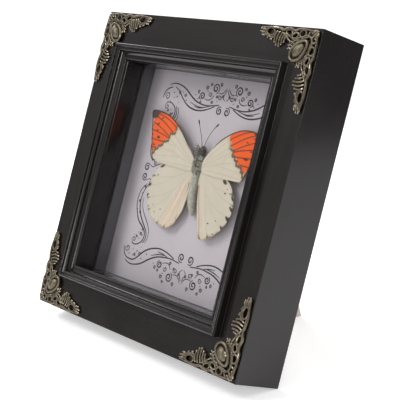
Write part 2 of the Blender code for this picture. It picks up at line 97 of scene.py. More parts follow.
def named(name):
    """Names the piece that was just added."""
    piece = bpy.context.object
    piece.name = name
    piece.data.name = name
    return piece


def modifier(piece, kind, **settings):
    """Adds a modifier with these settings and applies it."""
    take(piece)
    added = piece.modifiers.new(kind.lower(), kind)
    for key, value in settings.items():
        setattr(added, key, value)
    bpy.ops.object.modifier_apply(modifier=added.name)


def joined(*pieces):
    """Joins the pieces into the first one."""
    take(*pieces)
    bpy.ops.object.join()
    return pieces[0]


def points_of(piece):
    """The piece's vertices, as rows of x, y and z in metres."""
    co = np.empty(len(piece.data.vertices) * 3)
    piece.data.vertices.foreach_get("co", co)
    return co.reshape(-1, 3)


def move_points(piece, places):
    """Puts the piece's vertices at these rows of x, y and z."""
    piece.data.vertices.foreach_set("co", places.astype(np.float32).ravel())
    piece.data.update()


def in_edit_mode(piece, *steps):
    """Runs edit steps on the whole of a piece; each is (operator, settings)."""
    take(piece)
    bpy.ops.object.mode_set(mode="EDIT")
    bpy.ops.mesh.select_all(action="SELECT")
    for step, settings in steps:
        step(**settings)
    bpy.ops.object.mode_set(mode="OBJECT")


def seat(piece, finish, body, slot, *nodes, upright=True):
    """Finishes a piece: its material, its lean, the body it rides on and what it stands for."""
    take(piece)
    piece.data.materials.clear()
    piece.data.materials.append(finish)
    if upright:
        piece.matrix_world = LEANED @ piece.matrix_world
    bpy.ops.object.transform_apply(location=True, rotation=True, scale=True)
    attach(piece, body)
    if nodes:
        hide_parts(*nodes)
    return piece


def eased_copy(node, name, ease):
    """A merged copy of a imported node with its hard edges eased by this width."""
    source = frame["nodes"][node]
    piece = source.copy()
    piece.data = source.data.copy()
    piece.parent = None
    for key in list(piece.keys()):
        del piece[key]
    bpy.context.scene.collection.objects.link(piece)
    piece.name = name
    piece.data.name = name
    in_edit_mode(piece, (bpy.ops.mesh.remove_doubles, {"threshold": 1e-6}),
                 (bpy.ops.mesh.dissolve_limited, {"angle_limit": math.radians(1)}))
    if ease:
        modifier(piece, "BEVEL", width=ease, segments=2, limit_method="ANGLE",
                 angle_limit=math.radians(40))
    take(piece)
    bpy.ops.object.shade_smooth_by_angle(angle=math.radians(35))
    modifier(piece, "WEIGHTED_NORMAL", keep_sharp=True)
    return piece


def drawn(name, strokes, depth, sides=2, steps=5):
    """Strokes drawn as round bars on one plane, as one mesh.

    A stroke is (points, (start, middle, end) radius, closed), in millimetres.
    """
    bpy.ops.object.select_all(action="DESELECT")
    bpy.ops.curve.primitive_bezier_curve_add()
    pen = named(name)
    line = pen.data
    line.splines.clear()
    for points, radii, closed in strokes:
        spline = line.splines.new("BEZIER")
        spline.bezier_points.add(len(points) - 1)
        last = len(points) - 1
        for i, (knot, (x, z)) in enumerate(zip(spline.bezier_points, points)):
            knot.co = (x * MM, depth, z * MM)
            knot.handle_left_type = knot.handle_right_type = "AUTO"
            knot.radius = float(np.interp(i / last, (0, 0.5, 1), radii))
        spline.use_cyclic_u = closed
    line.dimensions = "3D"
    line.resolution_u = steps
    line.bevel_depth = MM
    line.bevel_resolution = sides
    line.use_fill_caps = True
    take(pen)
    bpy.ops.object.convert(target="MESH")
    return bpy.context.object


def circle_points(centre, radius, count, start=0.0, turn=1.0, squash=1.0, slant=0.0):
    """Points round part of a circle or an ellipse, in millimetres; angles are in degrees."""
    points = []
    tilt = math.radians(slant)
    for i in range(count):
        angle = math.radians(start) + 2 * math.pi * turn * i / count
        u = radius * math.cos(angle)
        v = radius * squash * math.sin(angle)
        points.append((centre[0] + u * math.cos(tilt) - v * math.sin(tilt),
                       centre[1] + u * math.sin(tilt) + v * math.cos(tilt)))
    return points


def spiral_points(centre, outer, inner, start, turns):
    """Points on a spiral that winds inwards; start is in degrees, negative turns go clockwise."""
    points = []
    for i in range(SPIRAL_STEPS + 1):
        t = i / SPIRAL_STEPS
        radius = outer + (inner - outer) * t
        angle = math.radians(start) + 2 * math.pi * turns * t
        points.append((centre[0] + radius * math.cos(angle),
                       centre[1] + radius * math.sin(angle)))
    return points


# Finishes -------------------------------------------------------------------------------------


class Finish:
    """A material put together node by node round one Principled shader."""

    def __init__(self, name, colour=(0.5, 0.5, 0.5), roughness=0.5, metallic=0.0, **values):
        self.material = bpy.data.materials.new(name)
        self.material.use_nodes = True
        self.tree = self.material.node_tree
        self.shader = self.tree.nodes["Principled BSDF"]
        self.put(self.shader, "Base Color", (*colour, 1.0))
        self.put(self.shader, "Roughness", roughness)
        self.put(self.shader, "Metallic", metallic)
        for key, value in values.items():
            self.put(self.shader, key.replace("_", " "), value)

    def put(self, node, key, value):
        """Sets an input, or links it when the value is another node's output."""
        if isinstance(value, bpy.types.NodeSocket):
            self.tree.links.new(value, node.inputs[key])
        else:
            node.inputs[key].default_value = value

    def node(self, kind, settings=None, **inputs):
        made = self.tree.nodes.new("ShaderNode" + kind)
        for key, value in (settings or {}).items():
            setattr(made, key, value)
        for key, value in inputs.items():
            self.put(made, key.replace("_", " "), value)
        return made

    def place(self, stretch=(1, 1, 1)):
        """Object coordinates turned to the frame's own axes, and stretched."""
        object_place = self.node("TexCoord").outputs["Object"]
        turned = self.node("Mapping", Vector=object_place, Rotation=(LEAN, 0, 0))
        return self.node("Mapping", Vector=turned.outputs[0], Scale=stretch).outputs[0]

    def noise(self, scale, detail=4.0, stretch=(1, 1, 1), rough=0.55):
        made = self.node("TexNoise", Vector=self.place(stretch), Scale=scale, Detail=detail,
                         Roughness=rough)
        return made.outputs["Fac"]

    def attribute(self, name):
        return self.node("Attribute", {"attribute_name": name}).outputs["Fac"]

    def math(self, operation, a, b=0.0):
        made = self.node("Math", {"operation": operation})
        self.put(made, 0, a)
        self.put(made, 1, b)
        return made.outputs[0]

    def range(self, value, low, high, to_low=0.0, to_high=1.0):
        made = self.node("MapRange", Value=value)
        for key, number in (("From Min", low), ("From Max", high), ("To Min", to_low),
                            ("To Max", to_high)):
            self.put(made, key, number)
        return made.outputs[0]

    def mix(self, share, a, b):
        """Colour a where share is 0 and colour b where it is 1."""
        made = self.node("Mix", {"data_type": "RGBA"})
        for index, value in ((0, share), (6, a), (7, b)):
            if isinstance(value, tuple):
                value = (*value, 1.0)
            self.put(made, index, value)
        return made.outputs[2]

    def bump(self, height, distance, strength=1.0):
        made = self.node("Bump", Height=height, Distance=distance, Strength=strength)
        self.put(self.shader, "Normal", made.outputs[0])

    def colour(self, value):
        self.put(self.shader, "Base Color", value)

    def roughness(self, value):
        self.put(self.shader, "Roughness", value)


def black_lacquer(name, stretch):
    """Glossy black lacquer over wood, with the grain just telling through along the rail."""
    finish = Finish(name, Specular_IOR_Level=0.45)
    grain = finish.noise(700, 5, stretch)
    cloud = finish.noise(22, 2)
    dark = finish.mix(cloud, (0.0062, 0.0046, 0.0048), (0.0110, 0.0078, 0.0078))
    finish.colour(finish.mix(finish.range(grain, 0.5, 0.8), dark, (0.0155, 0.0115, 0.0115)))
    finish.roughness(finish.range(cloud, 0.3, 0.7, 0.15, 0.22))
    finish.bump(grain, 0.006 * MM, 0.2)
    return finish.material


def antique_brass():
    """Cast brass: near black in its hollows, dull olive on its ribs, rubbed pale at the tips."""
    finish = Finish("antique_brass", metallic=1.0)
    edge = finish.node("NewGeometry").outputs["Pointiness"]
    speck = finish.noise(900, 3)
    height = finish.math("ADD", edge, finish.range(speck, 0, 1, -0.02, 0.02))
    worn = finish.range(height, 0.47, 0.54)
    tips = finish.range(height, 0.53, 0.575)
    deep = finish.mix(speck, (0.008, 0.007, 0.006), (0.034, 0.029, 0.021))
    dull = finish.mix(speck, (0.13, 0.108, 0.074), (0.25, 0.215, 0.155))
    finish.colour(finish.mix(tips, finish.mix(worn, deep, dull), (0.68, 0.60, 0.44)))
    finish.roughness(finish.range(worn, 0, 1, 0.62, 0.36))
    finish.bump(speck, 0.05 * MM, 0.4)
    return finish.material


def clear_glass():
    """Thin picture glass: see-through, with a faint gloss on its faces."""
    finish = Finish("clear_glass", (1, 1, 1), 0.03)
    clear = finish.node("BsdfTransparent", Color=(0.985, 0.985, 0.985, 1))
    gloss = finish.node("BsdfGlossy", Color=(1, 1, 1, 1), Roughness=0.03)
    share = finish.node("Fresnel", IOR=1.15).outputs[0]
    mixed = finish.node("MixShader")
    finish.put(mixed, 0, share)
    finish.put(mixed, 1, clear.outputs[0])
    finish.put(mixed, 2, gloss.outputs[0])
    output = finish.tree.nodes["Material Output"]
    finish.put(output, "Surface", mixed.outputs[0])
    return finish.material


def mount_board():
    """Soft dark grey board."""
    finish = Finish("grey_mount_board", roughness=0.85)
    fibre = finish.noise(1400, 3)
    finish.colour(finish.mix(fibre, (0.095, 0.093, 0.098), (0.160, 0.156, 0.164)))
    finish.bump(fibre, 0.05 * MM, 0.4)
    return finish.material


def lilac_card():
    """Pale lilac-grey card with a fine tooth and faint mottling."""
    finish = Finish("lilac_card", roughness=0.8)
    tooth = finish.noise(2600, 4)
    cloud = finish.noise(30, 3)
    paper = finish.mix(cloud, (0.435, 0.405, 0.435), (0.495, 0.465, 0.495))
    finish.colour(finish.mix(finish.range(tooth, 0.3, 0.7, 0, 0.35), paper, (0.39, 0.355, 0.385)))
    finish.bump(tooth, 0.02 * MM, 0.3)
    return finish.material


def black_ink():
    """Printing ink, a little uneven."""
    finish = Finish("black_ink", roughness=0.6)
    patch = finish.noise(900, 3)
    finish.colour(finish.mix(patch, (0.004, 0.004, 0.006), (0.016, 0.016, 0.021)))
    return finish.material


def wing_scales(name, base, tint):
    """Powdery wing scales. The markings come from the wing's own attributes."""
    finish = Finish(name, roughness=0.78, Sheen_Weight=0.05, Specular_IOR_Level=0.2)
    powder = finish.noise(1800, 3)
    cloud = finish.noise(90, 3)
    ground = finish.mix(cloud, base, tint)
    ground = finish.mix(finish.range(powder, 0.3, 0.8, 0, 0.3), ground, (0.50, 0.47, 0.36))
    ground = finish.mix(finish.attribute("flush"), ground, (0.66, 0.50, 0.38))
    ground = finish.mix(finish.attribute("rim"), ground, (0.46, 0.33, 0.12))
    blaze = finish.mix(powder, (0.67, 0.070, 0.007), (0.77, 0.122, 0.015))
    ground = finish.mix(finish.attribute("orange"), ground, blaze)
    ground = finish.mix(finish.attribute("vein"), ground, (0.28, 0.22, 0.13))
    brown = finish.mix(powder, (0.026, 0.016, 0.012), (0.085, 0.055, 0.042))
    finish.colour(finish.mix(finish.attribute("dark"), ground, brown))
    finish.bump(powder, 0.04 * MM, 0.5)
    return finish.material


def dark_feeler():
    """Dark brown, faintly banded."""
    finish = Finish("dark_feeler", roughness=0.55)
    band = finish.noise(2500, 1)
    finish.colour(finish.mix(band, (0.020, 0.015, 0.012), (0.080, 0.060, 0.045)))
    return finish.material


def clear_glue():
    """Cloudy yellowed glue."""
    finish = Finish("clear_glue", (0.72, 0.66, 0.50), 0.25, Transmission_Weight=0.4)
    haze = finish.noise(400, 2)
    finish.colour(finish.mix(haze, (0.66, 0.58, 0.40), (0.80, 0.74, 0.60)))
    return finish.material


def brown_hardboard():
    """Pressed fibreboard: brown, mottled with coarse and fine fibres."""
    finish = Finish("brown_hardboard", roughness=0.78)
    fibre = finish.noise(420, 6, (1, 1, 2.2), 0.7)
    cloud = finish.noise(35, 3)
    board = finish.mix(cloud, (0.16, 0.090, 0.045), (0.25, 0.150, 0.080))
    finish.colour(finish.mix(finish.range(fibre, 0.4, 0.75), board, (0.085, 0.048, 0.026)))
    finish.bump(fibre, 0.12 * MM, 0.5)
    return finish.material


def tan_board():
    """Tan faced board, with a soft grain up its length."""
    finish = Finish("tan_strut_board", roughness=0.7)
    grain = finish.noise(260, 5, (1, 1, 0.12), 0.65)
    speck = finish.noise(1500, 2)
    board = finish.mix(grain, (0.58, 0.50, 0.43), (0.73, 0.655, 0.585))
    finish.colour(finish.mix(finish.range(speck, 0.6, 0.8, 0, 0.4), board, (0.42, 0.345, 0.275)))
    finish.bump(grain, 0.06 * MM, 0.4)
    return finish.material


def zinc_plate():
    """Bright zinc plating, with a faint crystal bloom and fine rubbing."""
    finish = Finish("zinc_plated_steel", metallic=1.0)
    bloom = finish.noise(240, 3)
    rub = finish.noise(1600, 3, (0.2, 1, 1))
    finish.colour(finish.mix(bloom, (0.42, 0.43, 0.44), (0.66, 0.65, 0.62)))
    finish.roughness(finish.range(rub, 0.3, 0.7, 0.24, 0.46))
    finish.bump(rub, 0.01 * MM, 0.3)
    return finish.material


def pale_floor():
    """A white table lit from below."""
    finish = Finish("pale_floor", roughness=0.9, Emission_Color=(1, 1, 1, 1),
                    Emission_Strength=0.45)
    cloud = finish.noise(6, 2)
    finish.colour(finish.mix(cloud, (0.86, 0.86, 0.86), (0.89, 0.89, 0.89)))
    return finish.material


# The frame ------------------------------------------------------------------------------------


def dress_rails():
    """The four rails, with the grain along each."""
    across = black_lacquer("black_lacquer_across", (0.05, 1, 1))
    upward = black_lacquer("black_lacquer_upward", (1, 1, 0.05))
    for side, finish in (("top", across), ("bottom", across), ("left", upward),
                         ("right", upward)):
        rail = eased_copy(f"rail_{side}", f"moulded_rail_{side}", 0.12 * MM)
        seat(rail, finish, "frame", "black_lacquer", f"rail_{side}", upright=False)


def dress_sheets():
    """The glass, the card, the glue and the spacer strips."""
    nodes = frame["nodes"]
    board = mount_board()
    for node, finish in (("glass_pane", clear_glass()), ("backing_card", lilac_card()),
                         ("glue_dab", clear_glue())):
        nodes[node].data.materials.clear()
        nodes[node].data.materials.append(finish)
    for side in ("top", "bottom", "left", "right"):
        strip = eased_copy(f"spacer_{side}", f"spacer_strip_{side}", 0.15 * MM)
        seat(strip, board, "frame", "grey_mount_board", f"spacer_{side}", upright=False)


# The corner ornaments ------------------------------------------------------------------------

# Strokes of one leg: (distance along the edge, distance in from the edge), radii
LEG_STROKES = (
    ([(4.5, 1.6), (9, 1.2), (14, 1.1), (17.2, 2.0), (21.5, 1.1), (25.5, 2.1), (30, 1.3),
      (36, 1.4), (41.3, 1.9)], (0.62, 0.9, 0.55)),
    ([(24, 2.3), (28, 1.5), (33, 1.25), (37, 1.7)], (0.5, 1.15, 0.6)),
    ([(19.3, 7.6), (21.2, 6.4), (23.0, 5.0), (25.4, 3.6)], (0.4, 0.7, 0.5)),
    ([(13.8, 6.6), (17, 6.7), (20.4, 5.2), (24, 4.9)], (0.45, 0.55, 0.4)),
    ([(22.0, 4.2), (23.2, 6.2), (23.8, 8.6)], (0.45, 0.75, 0.5)),
    ([(23.8, 3.6), (25.0, 6.4), (25.2, 9.9)], (0.45, 0.75, 0.55)),
    ([(25.8, 3.2), (26.9, 6.6), (26.8, 10.9)], (0.45, 0.75, 0.6)),
    ([(27.8, 2.9), (28.8, 6.2), (28.6, 10.4)], (0.45, 0.75, 0.6)),
    ([(29.6, 2.8), (30.6, 5.4), (30.2, 8.8)], (0.5, 0.7, 0.6)),
    ([(30.6, 4.6), (32.2, 6.3), (34.6, 6.0), (37.0, 5.2), (38.6, 3.8)], (0.5, 0.75, 0.55)),
    ([(32.4, 7.4), (34.0, 7.0)], (0.7, 0.7, 0.5)),
    ([(35.4, 6.7), (36.8, 6.0)], (0.65, 0.65, 0.5)),
    ([(36.6, 2.6), (39.5, 2.6), (42.2, 2.2)], (0.4, 0.95, 0.35)),
    ([(36.8, 3.6), (39.6, 4.0), (42.0, 3.7)], (0.4, 0.85, 0.3)),
    ([(36.6, 4.6), (38.6, 5.4), (40.6, 5.4)], (0.4, 0.8, 0.3)),
    ([(16.6, 8.4), (18.4, 7.6), (19.6, 8.0)], (0.35, 0.5, 0.4)),
    ([(17.4, 9.8), (19.0, 9.2), (20.2, 9.7)], (0.35, 0.5, 0.4)),
    ([(17.9, 11.2), (19.2, 10.9), (20.0, 11.5)], (0.35, 0.5, 0.4)),
    ([(4.4, 5.2), (6.4, 4.6), (9.4, 5.2), (12.2, 5.6)], (0.5, 0.6, 0.45)),
)
# Closed loops round the pierced holes: middle, long radius, flattening, slant in degrees
LEG_LOOPS = (
    ((5.8, 3.4), 1.7, 0.85, 0, 0.5),
    ((11.6, 3.3), 2.1, 0.9, 0, 0.6),
    ((16.6, 4.5), 2.1, 0.65, 20, 0.55),
    ((21.0, 3.2), 2.3, 0.6, -15, 0.55),
    ((34.3, 3.4), 3.0, 0.6, -8, 0.6),
)
# Round the stone: the rope ring and the rib outside it, symmetrical about the diagonal
ROPE_RING = [(17.3, 11.8), (17.4, 15.6), (15.6, 17.4), (11.8, 17.3), (8.6, 14.6), (6.6, 11.0),
             (6.2, 7.6), (7.6, 6.2), (11.0, 6.6), (14.6, 8.6)]
OUTER_RIB = [(19.2, 10.4), (15.8, 6.6), (11.4, 4.7), (7.2, 4.3), (4.3, 7.2), (4.7, 11.4),
             (6.6, 15.8), (10.4, 19.2)]
CORNER_LOBES = ([(4.6, 4.6), (2.6, 2.6), (1.5, 1.5)], [(5.6, 3.0), (3.6, 1.6), (2.4, 1.2)],
                [(3.0, 5.6), (1.6, 3.6), (1.2, 2.4)])
STONE_PLACE = 11.8
# The rope ring is drawn large and shrunk towards the stone
RING_SHRINK = 0.87
STONE_SIZE = (4.3, 2.1, 2.7)
BAR_SLIMNESS = 0.84
CAST_DEPTH = -1.15 * MM
CAST_BASE = -0.3 * MM
CAST_VOXEL = 0.2 * MM
CAST_KEEP = 0.35


def corner_strokes():
    """All the bars of the top right corner, in the frame's own axes."""
    bars = []
    for points, radii in LEG_STROKES:
        bars.append((points, radii, False))
    for middle, radius, squash, slant, thick in LEG_LOOPS:
        bars.append((circle_points(middle, radius, 10, squash=squash, slant=slant),
                     (thick, thick, thick), True))
    bars += [([(b, a) for a, b in points], radii, closed) for points, radii, closed in bars]
    bars.append((OUTER_RIB, (0.45, 0.6, 0.45), False))
    for lobe in CORNER_LOBES:
        bars.append((lobe, (0.5, 0.85, 0.45), False))
    half = HALF / MM
    return [([(half - a, half - b) for a, b in points],
             [radius * BAR_SLIMNESS for radius in radii], closed)
            for points, radii, closed in bars]


def shrunk(distance):
    """A distance from the frame's corner, drawn in towards the stone."""
    return round(STONE_PLACE + RING_SHRINK * (distance - STONE_PLACE), 1)


def cast_corner():
    """The top right corner as one casting: bars, rope ring and a domed stone, fused."""
    half = HALF / MM
    bars = drawn("corner_casting", corner_strokes(), CAST_DEPTH)
    ring_line = [(half - shrunk(a), half - shrunk(b)) for a, b in ROPE_RING]
    ring = drawn("rope_ring", [(ring_line, (0.85, 0.85, 0.85), True)], CAST_DEPTH - 0.35 * MM)
    place = ((half - STONE_PLACE) * MM, CAST_DEPTH - 0.3 * MM, (half - STONE_PLACE) * MM)
    bpy.ops.object.select_all(action="DESELECT")
    bpy.ops.mesh.primitive_uv_sphere_add(segments=48, ring_count=24, radius=1.0, location=place,
                                         rotation=(0, math.radians(-45), 0))
    stone = named("stone")
    stone.scale = [size * MM for size in STONE_SIZE]
    bpy.ops.object.transform_apply(location=True, rotation=True, scale=True)
    bpy.ops.object.select_all(action="DESELECT")
    bpy.ops.mesh.primitive_cylinder_add(vertices=32, radius=1.0, depth=0.8 * MM, location=place,
                                        rotation=(math.radians(90), 0, 0))
    seat_plate = named("seat_plate")
    seat_plate.scale = (5.9 * MM, 5.9 * MM, 1.0)
    bpy.ops.object.transform_apply(location=False, rotation=True, scale=True)
    seat_plate.location.y = CAST_BASE - 0.4 * MM
    bpy.ops.object.transform_apply(location=True, rotation=True, scale=True)
    casting = joined(bars, ring, stone, seat_plate)
    modifier(casting, "REMESH", mode="VOXEL", voxel_size=CAST_VOXEL)
    modifier(casting, "SMOOTH", factor=0.5, iterations=2)
    modifier(casting, "DECIMATE", ratio=CAST_KEEP)
    in_edit_mode(casting, (bpy.ops.mesh.bisect, {
        "plane_co": (0, CAST_BASE, 0), "plane_no": (0, 1, 0), "clear_outer": True,
        "use_fill": True}))
    take(casting)
    bpy.ops.object.shade_smooth_by_angle(angle=math.radians(60))
    return casting


def copy_of(piece, name):
    """A copy with its own mesh."""
    made = piece.copy()
    made.data = piece.data.copy()
    made.name = name
    made.data.name = name
    bpy.context.scene.collection.objects.link(made)
    return made


def dress_corners():
    """The one casting, mirrored to the four corners."""
    brass = antique_brass()
    pattern = cast_corner()
    for level, z_sign in (("top", 1), ("bottom", -1)):
        for side, x_sign in (("left", -1), ("right", 1)):
            corner = copy_of(pattern, f"cast_corner_{level}_{side}")
            take(corner)
            corner.scale = (x_sign, 1, z_sign)
            bpy.ops.object.transform_apply(location=True, rotation=True, scale=True)
            in_edit_mode(corner, (bpy.ops.mesh.normals_make_consistent, {"inside": False}))
            seat(corner, brass, "frame", "antique_brass", f"corner_ornament_{level}_{side}")
    bpy.data.objects.remove(pattern)


# The print on the card ------------------------------------------------------------------------

PRINT_MIDDLE = (5.75, 1.3)
FINE, FIRM = (0.20, 0.38, 0.24), (0.30, 0.55, 0.34)
INK_THICK = 0.10                # how flat the drawn lines are pressed

TOP_LINES = (
    ([(-44, 53), (-40, 54.2), (-36, 54), (-30, 52.3), (-25, 49.5), (-20, 46.8), (-15, 45.2),
      (-10, 44.5), (-3, 45), (1.5, 45.8)], FIRM),
    ([(-48, 45), (-46.5, 49), (-44, 51), (-41, 51.8)], FIRM),
    ([(-38.5, 52.2), (-35, 50.5), (-30, 46.3), (-25, 43), (-20, 41.5), (-15, 41), (-10, 41.7),
      (-5, 43.3), (-2, 44.6)], FIRM),
    ([(-23, 45), (-17, 43.4), (-11, 43.2), (-5, 44.7)], FINE),
    ([(-19, 43), (-14, 42.6), (-9, 43.6)], FINE),
    (spiral_points((-44, 46.2), 2.4, 0.5, 190, -1.3), FINE),
    (spiral_points((2.6, 42.6), 2.5, 0.4, 60, 1.5), FIRM),
    (spiral_points((-14, 49.3), 2.4, 0.4, 250, -1.5), FIRM),
    (spiral_points((-4, 54.6), 3.0, 0.4, 290, 1.6), FIRM),
    ([(-11.8, 48.2), (-9, 47.6), (-6, 48.6), (-4.6, 50.6)], FINE),
    (spiral_points((-7.6, 50.6), 1.5, 0.3, 200, -1.3), FINE),
    (spiral_points((0.8, 50.0), 1.6, 0.3, 120, 1.3), FINE),
    ([(-1.4, 52.4), (1.4, 52.2), (3.6, 53.8), (4.9, 55.6)], FINE),
    ([(5.2, 48.4), (3.4, 50.2), (4.4, 52.6), (5.4, 54.6)], FINE),
    ([(-18, 47.2), (-16.6, 48.2), (-15.8, 50.6)], FINE),
)
TOP_CURLS = ((-33.6, 49.4, 1.1, 40, 1.3), (-28.4, 48.2, 1.0, 210, -1.3),
             (-11.2, 54.6, 1.3, 130, 1.4), (-8.4, 56.6, 0.9, 20, -1.2),
             (-0.4, 57.2, 1.1, 250, 1.3), (3.0, 50.8, 0.9, 80, -1.3),
             (-5.0, 46.8, 0.9, 150, 1.3), (-17.6, 51.6, 1.0, 320, -1.3),
             (-1.8, 50.0, 0.8, 10, 1.2), (-14.6, 45.9, 0.7, 100, -1.2))
TOP_DOTS = ((-43, 48.3, 0.45), (-38.8, 49, 0.5), (-35.5, 46.9, 0.55), (-31, 50, 0.4),
            (-27, 45.6, 0.5), (-33, 43.6, 0.35), (-38, 46.0, 0.4), (-40.6, 43.8, 0.35),
            (-20, 49.6, 0.4), (-1.0, 47.6, 0.4), (-10.2, 52.4, 0.4))
BOTTOM_LINES = (
    ([(-49, -43), (-48.5, -46), (-46, -48.5), (-42, -49.3), (-38.5, -49), (-35, -46.5),
      (-31, -43), (-27, -40.8), (-22, -39.3), (-17, -38.7), (-12, -39.3), (-8, -40.3),
      (-4, -41.7)], FIRM),
    ([(-46, -50.5), (-43, -51.5), (-40, -51.9), (-36, -51.4), (-31, -49.8), (-26, -46.8),
      (-21, -44.4), (-17, -43.2), (-13, -42.6), (-8, -42.2), (1.0, -43)], FIRM),
    ([(-19, -40.6), (-14, -41), (-10, -41.9)], FINE),
    ([(-24, -43.8), (-18, -42.0), (-12, -41.4)], FINE),
    (spiral_points((-46, -43.6), 2.1, 0.4, 170, 1.3), FINE),
    (spiral_points((1.9, -39.7), 2.7, 0.4, 300, -1.5), FIRM),
    (spiral_points((-14.8, -46.9), 2.3, 0.4, 110, 1.5), FIRM),
    (spiral_points((-4.8, -52), 2.9, 0.4, 70, -1.6), FIRM),
    (spiral_points((-9.2, -48.4), 1.6, 0.3, 160, 1.3), FINE),
    (spiral_points((-0.6, -48.0), 1.7, 0.3, 240, -1.3), FINE),
    ([(-12.6, -45.9), (-9, -45.0), (-6.4, -45.8), (-4.9, -48.0)], FINE),
    ([(-2.0, -50.2), (1.2, -49.8), (3.6, -51.2), (4.9, -53.2)], FINE),
    ([(5.2, -45.8), (3.2, -47.8), (4.4, -50.2), (5.4, -52.0)], FINE),
)
BOTTOM_CURLS = ((-38.4, -46.2, 1.0, 40, 1.3), (-34.2, -45.0, 1.1, 210, -1.3),
                (-11.6, -53.0, 1.3, 130, 1.4), (-9.4, -55.4, 0.9, 20, -1.2),
                (-0.6, -55.0, 1.1, 250, 1.3), (2.8, -48.8, 0.9, 80, -1.3),
                (-6.0, -44.4, 0.9, 150, 1.3), (-18.4, -49.2, 1.0, 320, -1.3),
                (-2.2, -47.0, 0.8, 10, 1.2), (-15.6, -50.4, 0.7, 100, -1.2))
BOTTOM_DOTS = ((-43.5, -46.4, 0.5), (-40, -46.6, 0.45), (-37, -43.8, 0.55), (-32, -47.3, 0.5),
               (-28, -44, 0.5), (-41.0, -43.4, 0.4), (-34.0, -41.0, 0.35),
               (-20.4, -47.4, 0.4), (-10.6, -51.2, 0.4))
SIDE_LINES = (
    ([(-43, -5.5), (-46, -8.5), (-47.5, -13), (-47.3, -18), (-45, -23), (-42, -27),
      (-38, -29.5), (-35, -32), (-34, -35), (-35, -37.5), (-37.5, -39.5), (-41, -40.5),
      (-43.5, -40)], FIRM),
    ([(-41, -5), (-43.5, -9), (-44.8, -14), (-44.2, -18.6), (-42, -23), (-38.6, -26.8),
      (-35.6, -29.6), (-32.8, -33), (-32.6, -36), (-34, -38.6)], FIRM),
    ([(-42.6, -13.4), (-42.2, -17.4), (-40, -21), (-36.6, -24.6), (-33.4, -27.8),
      (-31.2, -31.4), (-30.8, -35), (-32.0, -38.4)], FINE),
    (spiral_points((-42.3, -38.0), 1.9, 0.3, 250, -1.2), FINE),
    (spiral_points((-46.4, -1.5), 2.4, 0.4, 330, -1.5), FIRM),
    (spiral_points((-40.2, -5.0), 1.4, 0.3, 20, 1.3), FINE),
    ([(-44, -3.2), (-41.4, -2.2), (-38.6, -3.6), (-36.0, -4.4)], FINE),
)
SIDE_CURLS = ((-45.6, -15.8, 0.7, 40, 1.3), (-42.8, -22.0, 0.8, 210, -1.3),
              (-37.4, -33.6, 1.0, 130, 1.4), (-40.6, -35.6, 0.8, 20, -1.2),
              (-36.8, -31.0, 0.7, 80, -1.2), (-43.4, -7.2, 0.8, 120, 1.3))
SIDE_DOTS = ((-45.6, -20.6, 0.35), (-40.4, -24.9, 0.45), (-36.0, -34.4, 0.5),
             (-38.2, -36.6, 0.4), (-39.6, -33.2, 0.35), (-42.6, -35.0, 0.3),
             (-44.9, -11.0, 0.3), (-37.6, -2.0, 0.35))


def mirrored(lines, axis, middle):
    """The same lines mirrored across a vertical (0) or level (1) middle line."""
    def flip(point):
        flipped = list(point)
        flipped[axis] = 2 * middle - point[axis]
        return tuple(flipped)
    return [([flip(point) for point in points], radii) for points, radii in lines]


def mirrored_dots(dots, axis, middle):
    flipped = []
    for dot in dots:
        moved = list(dot)
        moved[axis] = 2 * middle - dot[axis]
        flipped.append(tuple(moved))
    return flipped


def curls(places):
    """Small spirals: (across, up, radius, starting angle, turns)."""
    return [(spiral_points((x, z), size, 0.25, start, turns), FINE)
            for x, z, size, start, turns in places]


def print_card():
    """Black scrolls on the card, a thin layer of ink."""
    across, level = PRINT_MIDDLE
    lines = list(TOP_LINES) + list(BOTTOM_LINES) + curls(TOP_CURLS + BOTTOM_CURLS)
    dots = list(TOP_DOTS) + list(BOTTOM_DOTS)
    lines += mirrored(lines, 0, across)
    dots += mirrored_dots(dots, 0, across)
    side = list(SIDE_LINES) + curls(SIDE_CURLS)
    side += mirrored(side, 1, level)
    spots = list(SIDE_DOTS) + mirrored_dots(SIDE_DOTS, 1, level)
    lines += side + mirrored(side, 0, across)
    dots += spots + mirrored_dots(spots, 0, across)
    strokes = [(points, radii, False) for points, radii in lines]
    for x, z, size in dots:
        strokes.append((circle_points((x, z), size * 0.5, 6), (size * 0.5,) * 3, True))
    ink = drawn("card_print", strokes, 0.0, sides=1, steps=4)
    ink.scale = (1, INK_THICK, 1)
    ink.location.y = CARD_FRONT
    seat(ink, black_ink(), "frame", None)


# The butterfly --------------------------------------------------------------------------------

CELL = 0.27                     # spacing of a wing's own mesh, in millimetres
WING_THICK = 0.1 * MM
NOTCH_DENT = 0.8                # depth of a scallop between two veins, and its half width
NOTCH_REACH = 0.9

FOREWING_LEFT = [(-2.0, 13.2), (-9.0, 20.6), (-18.5, 28.4), (-30.0, 34.8), (-42.0, 37.0),
                 (-48.6, 36.2), (-46.8, 30.0), (-43.6, 20.6), (-39.6, 11.4), (-38.4, 9.2),
                 (-36.6, 8.4), (-26.0, 7.9), (-10.0, 7.2), (-2.4, 8.0)]
FOREWING_RIGHT = [(5.4, 14.6), (12.0, 23.6), (20.0, 30.0), (30.0, 34.2), (40.0, 34.6),
                  (47.3, 31.4), (45.6, 24.0), (42.4, 16.4), (39.4, 8.7), (37.6, 7.4),
                  (27.0, 7.2), (14.0, 7.2), (5.8, 9.0)]
HINDWING_LEFT = [(-2.0, 10.6), (-14.0, 9.8), (-26.5, 8.4), (-31.8, 4.4), (-34.6, -1.0),
                 (-35.6, -6.0), (-35.2, -11.0), (-33.6, -15.4), (-31.0, -19.2),
                 (-25.6, -23.6), (-20.4, -25.4), (-15.4, -26.4), (-9.6, -25.2),
                 (-4.6, -19.4), (-2.0, -13.0), (-1.0, -4.0), (-1.0, 4.0)]
